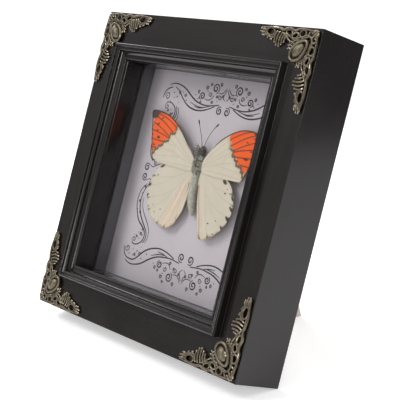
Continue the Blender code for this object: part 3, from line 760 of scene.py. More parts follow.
HINDWING_RIGHT = [(5.3, 9.8), (15.0, 9.0), (27.0, 7.4), (32.6, 3.4), (35.4, -0.6),
                  (36.9, -5.0), (36.8, -10.0), (34.8, -15.0), (31.6, -19.6), (27.0, -23.4),
                  (19.4, -26.8), (15.2, -25.6), (11.8, -18.0), (8.4, -9.0), (5.6, 0.0),
                  (5.0, 5.0)]

FOREWING_VEINS = (
    [(-2.5, 12.5), (-12, 21.5), (-22, 28.5), (-32, 33), (-44, 35.5)],
    [(-3, 12), (-14, 19), (-24, 25.5), (-36, 31.3), (-47, 34)],
    [(-3, 11.5), (-12, 15.5), (-22, 20.6), (-27, 23.2), (-36, 27.2), (-47, 30.5)],
    [(-22, 20.6), (-32, 23.6), (-46, 25.8)],
    [(-20, 18.8), (-30, 19.8), (-44.5, 20.6)],
    [(-3, 10.8), (-12, 13), (-20, 15.2), (-30, 16.2), (-43, 15.8)],
    [(-14, 13.4), (-26, 12.6), (-41, 11.6)],
    [(-22, 20.6), (-20.6, 18.8), (-20, 15.2)],
    [(-3, 9.5), (-16, 9.4), (-36, 8.8)],
)
HINDWING_VEINS = (
    [(-2, 9), (-14, 8), (-31, 5.2)],
    [(-2, 8), (-10, 4.5), (-18, 1.6), (-34.4, 0.0)],
    [(-14, 3.0), (-22, -1.8), (-36, -6.2)],
    [(-2, 7), (-8, 1.0), (-13, -4.4), (-22, -9.4), (-35, -13.0)],
    [(-13, -4.4), (-20, -12.4), (-31, -19.4)],
    [(-8, 1.0), (-12.6, -10), (-20.4, -25.4)],
    [(-2, 5), (-5.6, -5), (-9.6, -15), (-14.0, -26.6)],
    [(-2, 3), (-3.4, -8), (-6.4, -20)],
)
ORANGE_LEFT = [(-23.0, 31.6), (-22.6, 29.4), (-23.4, 26.4), (-26.6, 25.2), (-27.4, 22.4),
               (-31.4, 20.2), (-32.4, 18.6), (-36.4, 16.4), (-37.6, 14.4), (-40.2, 13.4),
               (-42.0, 15.4), (-43.4, 18.6), (-45.0, 25.0), (-45.6, 29.6), (-43.4, 34.6),
               (-40.0, 36.6), (-30.0, 35.4)]
BORDER_LEFT = [(-22.2, 29.6), (-23.2, 25.8), (-26.4, 24.6), (-27.4, 21.6), (-31.0, 19.6),
               (-32.6, 17.6), (-36.2, 15.6), (-38.6, 12.6), (-39.2, 10.4)]
ORANGE_RIGHT = [(22.6, 30.6), (22.6, 28.6), (24.4, 26.8), (24.8, 24.6), (27.6, 23.6),
                (28.0, 20.8), (31.4, 19.0), (32.2, 17.0), (36.0, 15.4), (37.0, 13.6),
                (39.2, 12.4), (41.4, 15.6), (43.2, 19.4), (45.0, 26.0), (45.2, 30.0),
                (42.0, 34.6), (30.0, 35.0)]
BORDER_RIGHT = [(21.6, 28.8), (24.0, 26.0), (24.6, 24.0), (27.2, 22.8), (27.8, 20.2),
                (31.0, 18.2), (32.2, 16.2), (35.8, 14.6), (38.0, 12.0), (39.2, 10.4)]
TIP_LEFT, TIP_RIGHT = (-48.6, 36.2), (48.3, 32.6)
# Dark spots: place, half width along the vein and across it, slant in degrees
FOREWING_SPOTS_LEFT = ((-37.2, 32.8, 0.9, 0.5, 30), (-40.2, 29.2, 1.1, 0.65, 20),
                       (-39.4, 25.6, 0.9, 0.5, 0), (-37.0, 21.9, 1.4, 0.75, -5),
                       (-39.8, 17.4, 0.9, 0.5, 0), (-43.4, 22.9, 0.8, 0.4, 0))
FOREWING_SPOTS_RIGHT = ((38.0, 19.8, 1.6, 0.7, -5), (40.6, 24.0, 0.8, 0.4, 0),
                        (36.4, 28.4, 0.8, 0.4, -20))
HINDWING_SPOTS_LEFT = ((-27.2, 6.6, 1.7, 0.7, 25), (-29.4, 1.2, 0.5, 0.35, 0),
                       (-34.8, -5.2, 1.3, 0.75, 25), (-35.0, -11.4, 1.5, 0.8, 35),
                       (-32.0, -17.6, 1.1, 0.55, 40), (-25.0, -19.4, 0.4, 0.3, 0),
                       (-20.4, -17.2, 0.45, 0.3, 0), (-27.6, -15.8, 0.35, 0.25, 0))
HINDWING_SPOTS_RIGHT = ((26.4, 5.8, 1.7, 0.95, -25), (28.5, 0, 0.6, 0.4, 0),
                        (34.8, -1.6, 1.5, 0.7, -50), (36.0, -7.4, 2.0, 0.8, -35),
                        (34.6, -12.6, 1.6, 0.8, -40), (31.8, -18.0, 1.2, 0.6, -45),
                        (26.4, -15.2, 0.45, 0.3, 0), (21.0, -17.6, 0.6, 0.35, 0),
                        (26.4, -22.4, 0.6, 0.3, 0), (29.4, 2.4, 0.3, 0.3, 0))
HINDWING_NOTCHES_LEFT = [(-33.4, 1.6), (-35.4, -3.6), (-35.8, -8.6), (-34.6, -13.4),
                         (-32.4, -17.4), (-28.6, -21.6), (-23.2, -24.8), (-17.6, -26.2)]
HINDWING_NOTCHES_RIGHT = [(34.2, 1.2), (36.4, -2.8), (37.0, -7.6), (36.0, -12.4),
                          (33.4, -17.6), (29.6, -21.4), (24.4, -24.8)]


def smooth_line(points, steps, closed=True):
    """A smooth line through points, with several steps in each span."""
    knots = np.array(points, float)
    count = len(knots)
    line = []
    for i in range(count if closed else count - 1):
        if closed:
            a, b, c, d = (knots[(i + k) % count] for k in (-1, 0, 1, 2))
        else:
            a, b, c, d = (knots[min(max(i + k, 0), count - 1)] for k in (-1, 0, 1, 2))
        for j in range(steps):
            t = j / steps
            line.append(0.5 * (2 * b + (c - a) * t + (2 * a - 5 * b + 4 * c - d) * t ** 2
                               + (3 * b - a - 3 * c + d) * t ** 3))
    if not closed:
        line.append(knots[-1])
    return np.array(line)


def nearest(places, line, closed=False):
    """How far each place is from a line, and the nearest point of the line."""
    starts = line if closed else line[:-1]
    ends = np.roll(line, -1, axis=0) if closed else line[1:]
    best = np.full(len(places), np.inf)
    spots = np.zeros_like(places)
    for start, end in zip(starts, ends):
        run = end - start
        share = np.clip(((places - start) @ run) / max(run @ run, 1e-12), 0, 1)
        near = start + share[:, None] * run
        away = np.linalg.norm(places - near, axis=1)
        closer = away < best
        best[closer] = away[closer]
        spots[closer] = near[closer]
    return best, spots


def within(places, outline):
    """Which places lie inside a closed outline."""
    inside = np.zeros(len(places), bool)
    for start, end in zip(outline, np.roll(outline, -1, axis=0)):
        if start[1] == end[1]:
            continue
        spans = (start[1] > places[:, 1]) != (end[1] > places[:, 1])
        crossing = start[0] + (places[:, 1] - start[1]) * (end[0] - start[0]) / (end[1] - start[1])
        inside ^= spans & (places[:, 0] < crossing)
    return inside


def depth_in(places, outline):
    """Signed distance to a closed outline: positive inside it."""
    away = nearest(places, outline, closed=True)[0]
    return np.where(within(places, outline), away, -away)


def soft_step(value, low, high):
    """Rises smoothly from 0 at low to 1 at high."""
    t = np.clip((value - low) / (high - low), 0, 1)
    return t * t * (3 - 2 * t)


def spot_mask(places, spots):
    """Oval spots with a soft edge."""
    mask = np.zeros(len(places))
    for x, z, long, short, slant in spots:
        angle = math.radians(slant)
        across = (places[:, 0] - x) * math.cos(angle) + (places[:, 1] - z) * math.sin(angle)
        along = -(places[:, 0] - x) * math.sin(angle) + (places[:, 1] - z) * math.cos(angle)
        mask = np.maximum(mask, 1 - soft_step(np.hypot(across / long, along / short), 0.8, 1.4))
    return mask


def notched(outline, notches):
    """Dents an outline towards its middle near each notch, so that it is scalloped."""
    middle = outline.mean(axis=0)
    for notch in notches:
        away = np.linalg.norm(outline - np.array(notch), axis=1)
        pull = NOTCH_DENT * np.exp(-(away / NOTCH_REACH) ** 2)
        inwards = middle - outline
        inwards /= np.linalg.norm(inwards, axis=1)[:, None]
        outline = outline + inwards * pull[:, None]
    return outline


def cut_wing(name, outline):
    """A fine level grid cut to the wing's outline; returns it and its (x, z) in millimetres."""
    low, high = outline.min(axis=0) - CELL, outline.max(axis=0) + CELL
    span = high - low
    middle = (low + high) / 2
    bpy.ops.object.select_all(action="DESELECT")
    bpy.ops.mesh.primitive_grid_add(
        x_subdivisions=int(span[0] / CELL), y_subdivisions=int(span[1] / CELL), size=1.0,
        location=(middle[0] * MM, 0, middle[1] * MM), rotation=(math.radians(90), 0, 0))
    wing = named(name)
    wing.scale = (span[0] * MM, span[1] * MM, 1)
    bpy.ops.object.transform_apply(location=True, rotation=True, scale=True)
    places = points_of(wing)[:, (0, 2)] / MM
    outside = depth_in(places, outline) < -0.5 * CELL
    take(wing)
    bpy.ops.object.mode_set(mode="EDIT")
    bpy.ops.mesh.select_mode(type="VERT")
    bpy.ops.mesh.select_all(action="DESELECT")
    bpy.ops.object.mode_set(mode="OBJECT")
    wing.data.vertices.foreach_set("select", outside)
    bpy.ops.object.mode_set(mode="EDIT")
    bpy.ops.mesh.delete(type="VERT")
    bpy.ops.object.mode_set(mode="OBJECT")
    places = points_of(wing)[:, (0, 2)] / MM
    depth, spots = depth_in(places, outline), nearest(places, outline, closed=True)[1]
    rim = depth < 0.5 * CELL
    places[rim] = spots[rim]
    return wing, places


def mark(piece, name, values):
    """Stores one number for each vertex, held between 0 and 1, for a material to read."""
    attribute = piece.data.attributes.new(name, "FLOAT", "POINT")
    attribute.data.foreach_set("value", np.clip(values, 0, 1).astype(np.float32))


def camber(places):
    """How far both wings of a side rise towards the glass, from the body to the tips."""
    out = np.abs(places[:, 0] - BODY_X) / 46
    return -0.55 * np.sin(np.clip(out, 0, 1) * math.pi) + 0.5 * soft_step(out, 0.75, 1.1)


def mirrored_veins(veins, grow):
    """The left side's veins mirrored to the right side, scaled about the wing root."""
    root = 2 * BODY_X + 2.5
    return [[(root + (2 * BODY_X - x - root) * grow, z) for x, z in vein] for vein in veins]


def shape_wing(name, outline, veins, depth, finish, node, slot, marks):
    """One wing: cut, veined, bent and marked. marks names its patterns and their masks."""
    wing, places = cut_wing(name, outline)
    rim = nearest(places, outline, closed=True)[0]
    vein_gap = np.full(len(places), np.inf)
    for vein in veins:
        vein_gap = np.minimum(vein_gap, nearest(places, smooth_line(vein, 6, closed=False))[0])
    ridge = np.exp(-(vein_gap / 0.28) ** 2)
    hollow = soft_step(vein_gap, 0.2, 2.2)
    ripple = np.sin(places[:, 0] * 0.45 + places[:, 1] * 0.3) * np.cos(places[:, 1] * 0.38)
    masks = marks(places, rim, vein_gap)
    bend = camber(places) - 0.07 * ridge + 0.10 * hollow + 0.06 * ripple
    bend += masks.pop("fold", 0.0)
    lifted = np.column_stack((places[:, 0] * MM, depth + bend * MM, places[:, 1] * MM))
    move_points(wing, lifted)
    mark(wing, "vein", masks.pop("vein_strength", 0.3) * np.exp(-(vein_gap / 0.22) ** 2))
    for key, values in masks.items():
        mark(wing, key, values)
    modifier(wing, "SOLIDIFY", thickness=WING_THICK, offset=0)
    in_edit_mode(wing, (bpy.ops.mesh.normals_make_consistent, {"inside": False}))
    take(wing)
    bpy.ops.object.shade_smooth_by_angle(angle=math.radians(50))
    seat(wing, finish, "frame", slot, node)


def forewing_marks(orange, border, spots, tip):
    """The orange tip with its dark zigzag border, dark margin, and spots between the veins."""
    orange_line = smooth_line(orange, 3)
    border_line = smooth_line(border, 4, closed=False)

    def marks(places, rim, vein_gap):
        blaze = soft_step(depth_in(places, orange_line), -0.25, 0.3)
        out = np.abs(places[:, 0] - BODY_X)
        teeth = 0.35 * np.sin(places[:, 1] * 2.4) + 0.25 * np.sin(places[:, 0] * 3.1)
        zigzag = 1 - soft_step(nearest(places, border_line)[0] + teeth, 0.5, 1.15)
        costa = (1 - soft_step(rim, 0.4, 1.05)) * (places[:, 1] > 11.5 + 0.2 * out)
        costa *= soft_step(out, 5, 14)
        margin = (1 - soft_step(rim + 0.3 * teeth, 0.6, 1.3)) * soft_step(out, 35, 38)
        from_tip = np.hypot(0.65 * (places[:, 0] - tip[0]), places[:, 1] - tip[1])
        apex = np.maximum(margin, 1 - soft_step(from_tip + teeth, 4.6, 5.6))
        between = blaze * 0.9 * (1 - soft_step(vein_gap, 0.15, 0.5))
        dark = np.maximum.reduce([zigzag * 0.85 * soft_step(out, 20, 25), costa, apex, between,
                                  spot_mask(places, spots)])
        yellow = 0.55 * np.exp(-(nearest(places, border_line)[0] / 1.4) ** 2) * (1 - blaze)
        return {"orange": blaze, "dark": dark, "rim": yellow,
                "flush": 0.15 * (1 - soft_step(rim, 0.3, 2.0)), "vein_strength": 0.30}
    return marks


def hindwing_marks(spots, sign):
    """Cream, with spots at the margin, a ragged yellow lower edge and pleats by the body."""
    pleats = [smooth_line([(BODY_X + sign * (2.5 + k), 6.0), (BODY_X + sign * (5.6 + 1.5 * k), -8.0),
                           (BODY_X + sign * (9.6 + 2.6 * k), -26.0)], 8, closed=False)
              for k in (0, 1.7, 3.4)]

    def marks(places, rim, vein_gap):
        low = soft_step(-places[:, 1], 16, 25)
        worn = 0.6 + 0.4 * np.sin(places[:, 0] * 1.9) * np.cos(places[:, 0] * 0.7)
        edge = (1 - soft_step(rim, 0.15, 1.5 * worn + 0.3)) * (0.3 + 0.7 * low)
        ends = (1 - soft_step(vein_gap + 0.4 * rim, 0.5, 1.3)) * (places[:, 1] < 1)
        fold = np.zeros(len(places))
        for k, line in enumerate(pleats):
            fold += (-1) ** k * 0.45 * np.exp(-(nearest(places, line)[0] / 0.8) ** 2)
        reach = soft_step(-places[:, 1], -6, 6)
        flush = np.zeros(len(places))
        for line in pleats:
            flush = np.maximum(flush, np.exp(-(nearest(places, line)[0] / 1.5) ** 2))
        strength = 1.0 if sign < 0 else 0.55
        dark = np.maximum(spot_mask(places, spots), 0.7 * ends)
        return {"orange": np.zeros(len(places)), "dark": dark, "rim": 0.8 * edge,
                "flush": strength * 0.6 * flush * reach,
                "fold": strength * fold * reach, "vein_strength": 0.22}
    return marks


def set_wings():
    """The four wings, with a finish for each pair."""
    fore = wing_scales("orange_tip_wing", (0.475, 0.435, 0.355), (0.56, 0.515, 0.425))
    hind = wing_scales("cream_wing", (0.465, 0.425, 0.35), (0.55, 0.505, 0.42))
    left, right = smooth_line(FOREWING_LEFT, 8), smooth_line(FOREWING_RIGHT, 8)
    shape_wing("set_forewing_left", left, FOREWING_VEINS, FOREWING_DEPTH, fore, "forewing_left",
               "orange_tip_wing",
               forewing_marks(ORANGE_LEFT, BORDER_LEFT, FOREWING_SPOTS_LEFT, TIP_LEFT))
    shape_wing("set_forewing_right", right, mirrored_veins(FOREWING_VEINS, 0.93),
               FOREWING_DEPTH, fore, "forewing_right", "orange_tip_wing",
               forewing_marks(ORANGE_RIGHT, BORDER_RIGHT, FOREWING_SPOTS_RIGHT, TIP_RIGHT))
    left = notched(smooth_line(HINDWING_LEFT, 10), HINDWING_NOTCHES_LEFT)
    right = notched(smooth_line(HINDWING_RIGHT, 10), HINDWING_NOTCHES_RIGHT)
    shape_wing("set_hindwing_left", left, HINDWING_VEINS, HINDWING_DEPTH, hind,
               "hindwing_left", "cream_wing", hindwing_marks(HINDWING_SPOTS_LEFT, -1))
    shape_wing("set_hindwing_right", right, mirrored_veins(HINDWING_VEINS, 1.0),
               HINDWING_DEPTH, hind, "hindwing_right", "cream_wing",
               hindwing_marks(HINDWING_SPOTS_RIGHT, 1))


# Rings of the body from the tail to the head: height, place across, depth, half width and
# half thickness
BODY_RINGS = ((-16.2, 4.6, 19.8, 0.9, 0.8), (-13.5, 3.3, 19.5, 1.8, 1.6),
              (-9.5, 2.2, 19.2, 2.3, 1.9), (-5.0, 1.5, 18.9, 2.6, 2.1),
              (0.0, 1.4, 18.8, 2.6, 2.1), (4.0, 1.6, 18.7, 2.4, 2.0),
              (6.2, 1.6, 18.6, 2.1, 1.8), (7.4, 1.6, 18.5, 2.5, 2.0),
              (9.6, 1.6, 18.4, 3.3, 2.3), (12.0, 1.6, 18.4, 3.5, 2.4),
              (14.4, 1.6, 18.4, 3.2, 2.3), (16.4, 1.7, 18.5, 2.5, 2.0),
              (17.6, 1.8, 18.5, 1.5, 1.5), (19.0, 1.9, 18.5, 1.9, 1.7),
              (20.6, 1.9, 18.5, 1.6, 1.5), (21.6, 1.9, 18.6, 0.7, 0.7))
FUR_SEED = 7
FUR_COUNT = 4200
# Hair lengths on the thorax, the head and the abdomen, and the spread of their thickness
THORAX_HAIR, HEAD_HAIR, TAIL_HAIR = 1.5, 1.1, 0.55
HAIR_THICK = (0.05, 0.09)
THORAX_LOW, THORAX_HIGH = 7, 16.5


def body_middle(height):
    """Where the body's axis lies across the frame at this height."""
    return float(np.interp(height, [ring[0] for ring in BODY_RINGS],
                           [ring[1] for ring in BODY_RINGS]))


def loft_body():
    """Extrudes a circle ring by ring from the tail to the head, then rounds it."""
    bpy.ops.object.select_all(action="DESELECT")
    height, across, depth, wide, thick = BODY_RINGS[0]
    bpy.ops.mesh.primitive_circle_add(vertices=20, radius=wide * MM, fill_type="NGON",
                                      location=(across * MM, depth * MM, height * MM))
    body = named("furred_butterfly_body")
    bpy.ops.object.transform_apply(location=True, rotation=True, scale=True)
    bpy.ops.object.mode_set(mode="EDIT")
    bpy.ops.mesh.select_all(action="SELECT")
    for ring in BODY_RINGS[1:]:
        step = ((ring[1] - across) * MM, (ring[2] - depth) * MM, (ring[0] - height) * MM)
        bpy.ops.mesh.extrude_region_move(TRANSFORM_OT_translate={"value": step})
        bpy.ops.transform.resize(value=(ring[3] / wide, ring[4] / thick, 1),
                                 center_override=(ring[1] * MM, ring[2] * MM, ring[0] * MM))
        height, across, depth, wide, thick = ring
    bpy.ops.mesh.select_all(action="SELECT")
    bpy.ops.mesh.normals_make_consistent(inside=False)
    bpy.ops.object.mode_set(mode="OBJECT")
    modifier(body, "SUBSURF", levels=2, render_levels=2)
    return body


def body_tone(x, z, chance):
    """How pale the fur is at a place: a dark head and back line, a grey-green rest."""
    head = soft_step(z, 15.6, 17.4)
    line = np.exp(-((x - BODY_X - 0.6) / 0.55) ** 2) * soft_step(z, 8, 10) * (1 - head)
    belly = 1 - soft_step(z, 5.0, 7.0)
    patch = np.array([noise.noise((1.1 * a, 0.0, 0.9 * b)) for a, b in zip(x, z)])
    tone = 0.72 + 0.1 * belly + 0.5 * (chance - 0.5) + 1.5 * patch * (1 - 0.8 * belly)
    tone = tone * (1 - 0.85 * line)
    return tone * (1 - head) + head * (0.05 + 0.5 * (chance > 0.72))


def grow_fur(body, count, rng):
    """Fine tapering hairs over the body, as one mesh: long on the thorax, short elsewhere."""
    mesh = body.data
    areas = np.array([face.area for face in mesh.polygons])
    middles = np.array([face.center for face in mesh.polygons])
    normals = np.array([face.normal for face in mesh.polygons])
    front = np.where(normals[:, 1] < 0.5, 1.0, 0.15)
    z = middles[:, 2] / MM
    crowd = np.where(z > 7, 1.6, 0.8) * front * areas
    chosen = rng.choice(len(areas), count, p=crowd / crowd.sum())
    vertices, faces, tones = [], [], []
    for i in chosen:
        height = z[i]
        if height >= THORAX_HIGH:
            length = HEAD_HAIR
        else:
            length = THORAX_HAIR if height > THORAX_LOW else TAIL_HAIR
        length *= rng.uniform(0.55, 1.2) * MM
        root = middles[i] + rng.normal(0, 0.12 * MM, 3)
        comb = np.array((0.0, 0.0, -0.9 if height < 16 else 0.5))
        way = normals[i] * 0.8 + comb + rng.normal(0, 0.4, 3)
        way /= np.linalg.norm(way)
        side = np.cross(way, rng.normal(0, 1, 3))
        side /= np.linalg.norm(side)
        other = np.cross(way, side)
        thick = rng.uniform(*HAIR_THICK) * MM
        droop = np.array((0, 0.15, -0.25)) * length
        start = len(vertices)
        for share, width in ((0.0, 1.0), (0.55, 0.75)):
            middle = root + way * length * share + droop * share ** 2
            for angle in (0, 2.1, 4.2):
                vertices.append(middle + thick * width * (math.cos(angle) * side
                                                          + math.sin(angle) * other))
        vertices.append(root + way * length + droop)
        for k in range(3):
            n = (k + 1) % 3
            faces.append((start + k, start + n, start + 3 + n, start + 3 + k))
            faces.append((start + 3 + k, start + 3 + n, start + 6))
        faces.append((start + 2, start + 1, start))
        tones += [float(rng.uniform())] * 7
    fur = bpy.data.meshes.new("fur")
    fur.from_pydata([tuple(v) for v in vertices], [], faces)
    made = bpy.data.objects.new("fur", fur)
    bpy.context.scene.collection.objects.link(made)
    place = np.array(vertices) / MM
    mark(made, "tone", body_tone(place[:, 0], place[:, 2], np.array(tones)))
    return made


# The tuft of forelegs, the eyes and the palps, all by the head
TUFT_ROOT = (1.0, 19.0)
TUFT_BARS = 34
TUFT_RADII = (0.32, 0.24, 0.10)
TUFT_DEPTH = 16.9 * MM
EYE_HEIGHT = 19.2
EYE_DEPTH = 18.2
EYE_OFFSET = 1.35
EYE_RADIUS = 0.85 * MM
PALP_RADII = (0.35, 0.3, 0.12)
PALP_DEPTH = 18.6 * MM


def foreleg_tuft(rng):
    """The folded, hairy forelegs to the left of the head, as fine bars from one root."""
    bars = []
    for _ in range(TUFT_BARS):
        angle = rng.uniform(math.radians(128), math.radians(186))
        reach = rng.uniform(1.6, 6.5)
        start = (TUFT_ROOT[0] + rng.normal(0, 0.4), TUFT_ROOT[1] + rng.normal(0, 0.5))
        middle = (start[0] + 0.5 * reach * math.cos(angle) + rng.normal(0, 0.3),
                  start[1] + 0.5 * reach * math.sin(angle) + rng.normal(0, 0.3))
        end = (start[0] + reach * math.cos(angle), start[1] + 0.75 * reach * math.sin(angle))
        bars.append(([start, middle, end], TUFT_RADII, False))
    return drawn("forelegs", bars, TUFT_DEPTH, steps=3)


def head_parts(rng):
    """Two round eyes, the folded forelegs and a pair of short palps at the mouth."""
    parts = []
    for sign in (-1, 1):
        bpy.ops.object.select_all(action="DESELECT")
        centre = (body_middle(EYE_HEIGHT) + sign * EYE_OFFSET, EYE_DEPTH, EYE_HEIGHT)
        bpy.ops.mesh.primitive_uv_sphere_add(segments=20, ring_count=12, radius=EYE_RADIUS,
                                             location=[v * MM for v in centre])
        eye = named("eye")
        eye.scale = (0.8, 1.0, 1.1)
        bpy.ops.object.transform_apply(location=True, rotation=True, scale=True)
        parts.append(eye)
    parts.append(foreleg_tuft(rng))
    palps = [([(body_middle(20.5) + sign * 0.5, 20.4), (body_middle(21) + sign * 0.75, 22.0)],
              PALP_RADII, False) for sign in (-1, 1)]
    parts.append(drawn("palps", palps, PALP_DEPTH))
    for part in parts:
        place = points_of(part) / MM
        speckle = 0.6 * (np.sin(place[:, 0] * 4) * np.sin(place[:, 2] * 3) > 0.45)
        speckle *= place[:, 0] < -0.3
        mark(part, "tone", speckle)
    return parts


def furred_body():
    """The butterfly's body material: hairs from near black to grey-green by their own tone."""
    finish = Finish("furred_body", roughness=0.85, Sheen_Weight=0.2)
    tone = finish.attribute("tone")
    strand = finish.noise(700, 3)
    low = finish.mix(strand, (0.030, 0.024, 0.020), (0.070, 0.058, 0.045))
    high = finish.mix(strand, (0.44, 0.44, 0.38), (0.62, 0.61, 0.52))
    finish.colour(finish.mix(tone, low, high))
    finish.bump(strand, 0.08 * MM, 0.5)
    return finish.material


def set_body():
    """The body with its fur, eyes, palps and forelegs, joined as one piece."""
    rng = np.random.default_rng(FUR_SEED)
    body = loft_body()
    place = points_of(body)
    mark(body, "tone", body_tone(place[:, 0] / MM, place[:, 2] / MM,
                                 rng.uniform(0.2, 0.6, len(place))))
    fur = grow_fur(body, FUR_COUNT, rng)
    whole = joined(body, fur, *head_parts(rng))
    bpy.ops.object.shade_smooth_by_angle(angle=math.radians(60))
    seat(whole, furred_body(), "frame", "furred_body", "butterfly_body")


FEELER_DEPTH = 18.2 * MM
SHAFT_RADII, CLUB_RADII = (0.17, 0.14, 0.16), (0.15, 0.42, 0.34)
FEELER_LINES = {
    "left": [(0.9, 21.0), (-0.6, 24.6), (-3.4, 29.4), (-5.6, 32.8), (-7.3, 35.6)],
    "right": [(2.2, 21.0), (2.9, 24.4), (4.6, 28.8), (6.8, 32.2), (9.6, 35.2)],
}


def set_feelers():
    """The two antennae, each a thin shaft with a club at its tip."""
    finish = dark_feeler()
    for side, line in FEELER_LINES.items():
        shaft = drawn(f"clubbed_antenna_{side}", [(line, SHAFT_RADII, False)],
                      FEELER_DEPTH, sides=3)
        (x0, z0), (x1, z1) = line[-2:]
        way = Vector((x1 - x0, z1 - z0)).normalized()
        club = [(x1 - way.x * 3.2, z1 - way.y * 3.2), (x1 - way.x * 1.2, z1 - way.y * 1.2),
                (x1, z1)]
        tip = drawn("club", [(club, CLUB_RADII, False)], FEELER_DEPTH, sides=3)
        feeler = joined(shaft, tip)
        bpy.ops.object.shade_smooth_by_angle(angle=math.radians(60))
        seat(feeler, finish, "frame", "dark_feeler", f"antenna_{side}")


# The stand and the fastenings -----------------------------------------------------------------

SLOT = (6 * MM, 0.45 * MM, 0.9 * MM)


def slotted_screw(node, steel, body):
    """A packed screw with a slot sawn across its head, the broad flat end."""
    screw = eased_copy(node, "slotted_" + node, 0)
    bpy.ops.object.transform_apply(location=True, rotation=True, scale=True)
    head = max(screw.data.polygons, key=lambda face: face.area)
    bpy.ops.object.select_all(action="DESELECT")
    bpy.ops.mesh.primitive_cube_add(size=1, location=head.center)
    saw = named("saw")
    saw.rotation_euler = head.normal.to_track_quat("Z", "Y").to_euler()
    saw.scale = SLOT
    modifier(screw, "BOOLEAN", object=saw, operation="DIFFERENCE", solver="EXACT")
    bpy.data.objects.remove(saw)
    modifier(screw, "BEVEL", width=0.06 * MM, segments=2, limit_method="ANGLE",
             angle_limit=math.radians(50))
    seat(screw, steel, body, "zinc_plated_steel", node, upright=False)


def dress_back():
    """The back panel, the strut, its hinge and screws, and the turn buttons."""
    steel = zinc_plate()
    panel = eased_copy("back_panel", "hardboard_panel", 0.3 * MM)
    seat(panel, brown_hardboard(), "frame", "brown_hardboard", "back_panel", upright=False)
    strut = eased_copy("easel_strut", "strut_board", 0.4 * MM)
    seat(strut, tan_board(), "strut", "tan_strut_board", "easel_strut", upright=False)
    for node, body in (("hinge_leaf_on_panel", "frame"), ("hinge_leaf_on_strut", "strut"),
                       ("hinge_pin", "frame")):
        part = eased_copy(node, "plated_" + node, 0.12 * MM)
        seat(part, steel, body, "zinc_plated_steel", node, upright=False)
    for level, hinge_body in (("top", "frame"), ("bottom", "strut")):
        for side in ("left", "right"):
            slotted_screw(f"pivot_screw_{level}_{side}", steel, "frame")
            slotted_screw(f"hinge_screw_{level}_{side}", steel, hinge_body)
            name = f"turn_button_{level}_{side}"
            button = eased_copy(name, "plated_" + name, 0.15 * MM)
            seat(button, steel, name.replace("turn_", ""), "zinc_plated_steel", name,
                 upright=False)


# The table, the light and the camera ----------------------------------------------------------


def lay_floor():
    """The table that the frame stands on."""
    bpy.ops.object.select_all(action="DESELECT")
    bpy.ops.mesh.primitive_circle_add(vertices=96, radius=FLOOR_RADIUS, fill_type="NGON")
    floor = named("floor")
    floor.data.materials.append(pale_floor())


# Lamps: name, azimuth and elevation in degrees, distance, size, power and colour
LAMPS = (("key_lamp", -34, 44, 1.1, 0.4, 5.5, (1.0, 0.985, 0.97)),
         ("front_lamp", -20, 4, 1.1, 0.3, 2.0, (1.0, 1.0, 1.0)),
         ("near_lamp", 46, 22, 1.2, 0.16, 1.6, (1.0, 1.0, 1.0)),
         ("left_lamp", -105, 25, 1.0, 0.45, 4.0, (1.0, 1.0, 1.0)),
         ("top_lamp", -60, 76, 1.0, 0.35, 2.0, (0.97, 0.985, 1.0)))
# How bright the white surround is: at the horizon, high up, and as the camera sees it
HORIZON_LIGHT, ZENITH_LIGHT, BACKDROP_LIGHT = 0.22, 0.80, 1.2


def hang_lamp(name, azimuth, elevation, distance, size, power, warmth):
    """A soft square lamp that faces the middle of the frame; angles in degrees."""
    bpy.ops.object.select_all(action="DESELECT")
    bpy.ops.object.light_add(type="AREA")
    lamp = named(name)
    turn, rise = math.radians(azimuth), math.radians(elevation)
    back = Vector((math.sin(turn) * math.cos(rise), -math.cos(turn) * math.cos(rise),
                   math.sin(rise)))
    lamp.location = FRONT_MIDDLE + back * distance
    lamp.rotation_euler = back.to_track_quat("Z", "Y").to_euler()
    lamp.data.size = size
    lamp.data.energy = power
    lamp.data.color = warmth


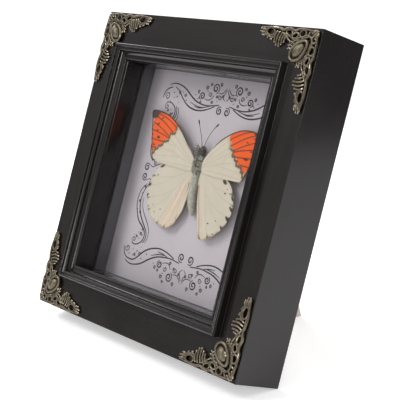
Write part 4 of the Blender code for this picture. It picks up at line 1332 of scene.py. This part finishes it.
def light_studio():
    """A white surround that is dimmer towards the horizon, and soft lamps."""
    world = bpy.data.worlds.new("studio")
    bpy.context.scene.world = world
    world.use_nodes = True
    nodes, links = world.node_tree.nodes, world.node_tree.links
    nodes.clear()
    output = nodes.new("ShaderNodeOutputWorld")
    direction = nodes.new("ShaderNodeTexCoord").outputs["Generated"]
    split = nodes.new("ShaderNodeSeparateXYZ")
    links.new(direction, split.inputs[0])
    rise = nodes.new("ShaderNodeMapRange")
    links.new(split.outputs["Z"], rise.inputs["Value"])
    rise.inputs["From Min"].default_value = 0.0
    rise.inputs["From Max"].default_value = 0.8
    rise.inputs["To Min"].default_value = HORIZON_LIGHT
    rise.inputs["To Max"].default_value = ZENITH_LIGHT
    surround = nodes.new("ShaderNodeBackground")
    surround.inputs["Color"].default_value = (1, 1, 1, 1)
    links.new(rise.outputs[0], surround.inputs["Strength"])
    backdrop = nodes.new("ShaderNodeBackground")
    backdrop.inputs["Color"].default_value = (1, 1, 1, 1)
    backdrop.inputs["Strength"].default_value = BACKDROP_LIGHT
    choice = nodes.new("ShaderNodeMixShader")
    links.new(nodes.new("ShaderNodeLightPath").outputs["Is Camera Ray"], choice.inputs[0])
    links.new(surround.outputs[0], choice.inputs[1])
    links.new(backdrop.outputs[0], choice.inputs[2])
    links.new(choice.outputs[0], output.inputs[0])
    for lamp in LAMPS:
        hang_lamp(*lamp)


def set_camera():
    """The camera, aimed at a point in the frame's own axes."""
    bpy.ops.object.select_all(action="DESELECT")
    bpy.ops.object.camera_add()
    camera = named("camera")
    back = Vector((math.sin(VIEW_AZIMUTH) * math.cos(VIEW_ELEVATION),
                   -math.cos(VIEW_AZIMUTH) * math.cos(VIEW_ELEVATION),
                   math.sin(VIEW_ELEVATION)))
    camera.location = LEANED @ (Vector(VIEW_TARGET) * MM) + back * VIEW_DISTANCE
    camera.rotation_euler = back.to_track_quat("Z", "Y").to_euler()
    camera.data.lens = LENS
    camera.data.clip_start = 0.01
    bpy.context.scene.camera = camera
    bpy.context.scene.view_settings.view_transform = "Standard"


def main():
    dress_rails()
    dress_corners()
    dress_sheets()
    print_card()
    set_wings()
    set_body()
    set_feelers()
    dress_back()
    lay_floor()
    light_studio()
    set_camera()


main()
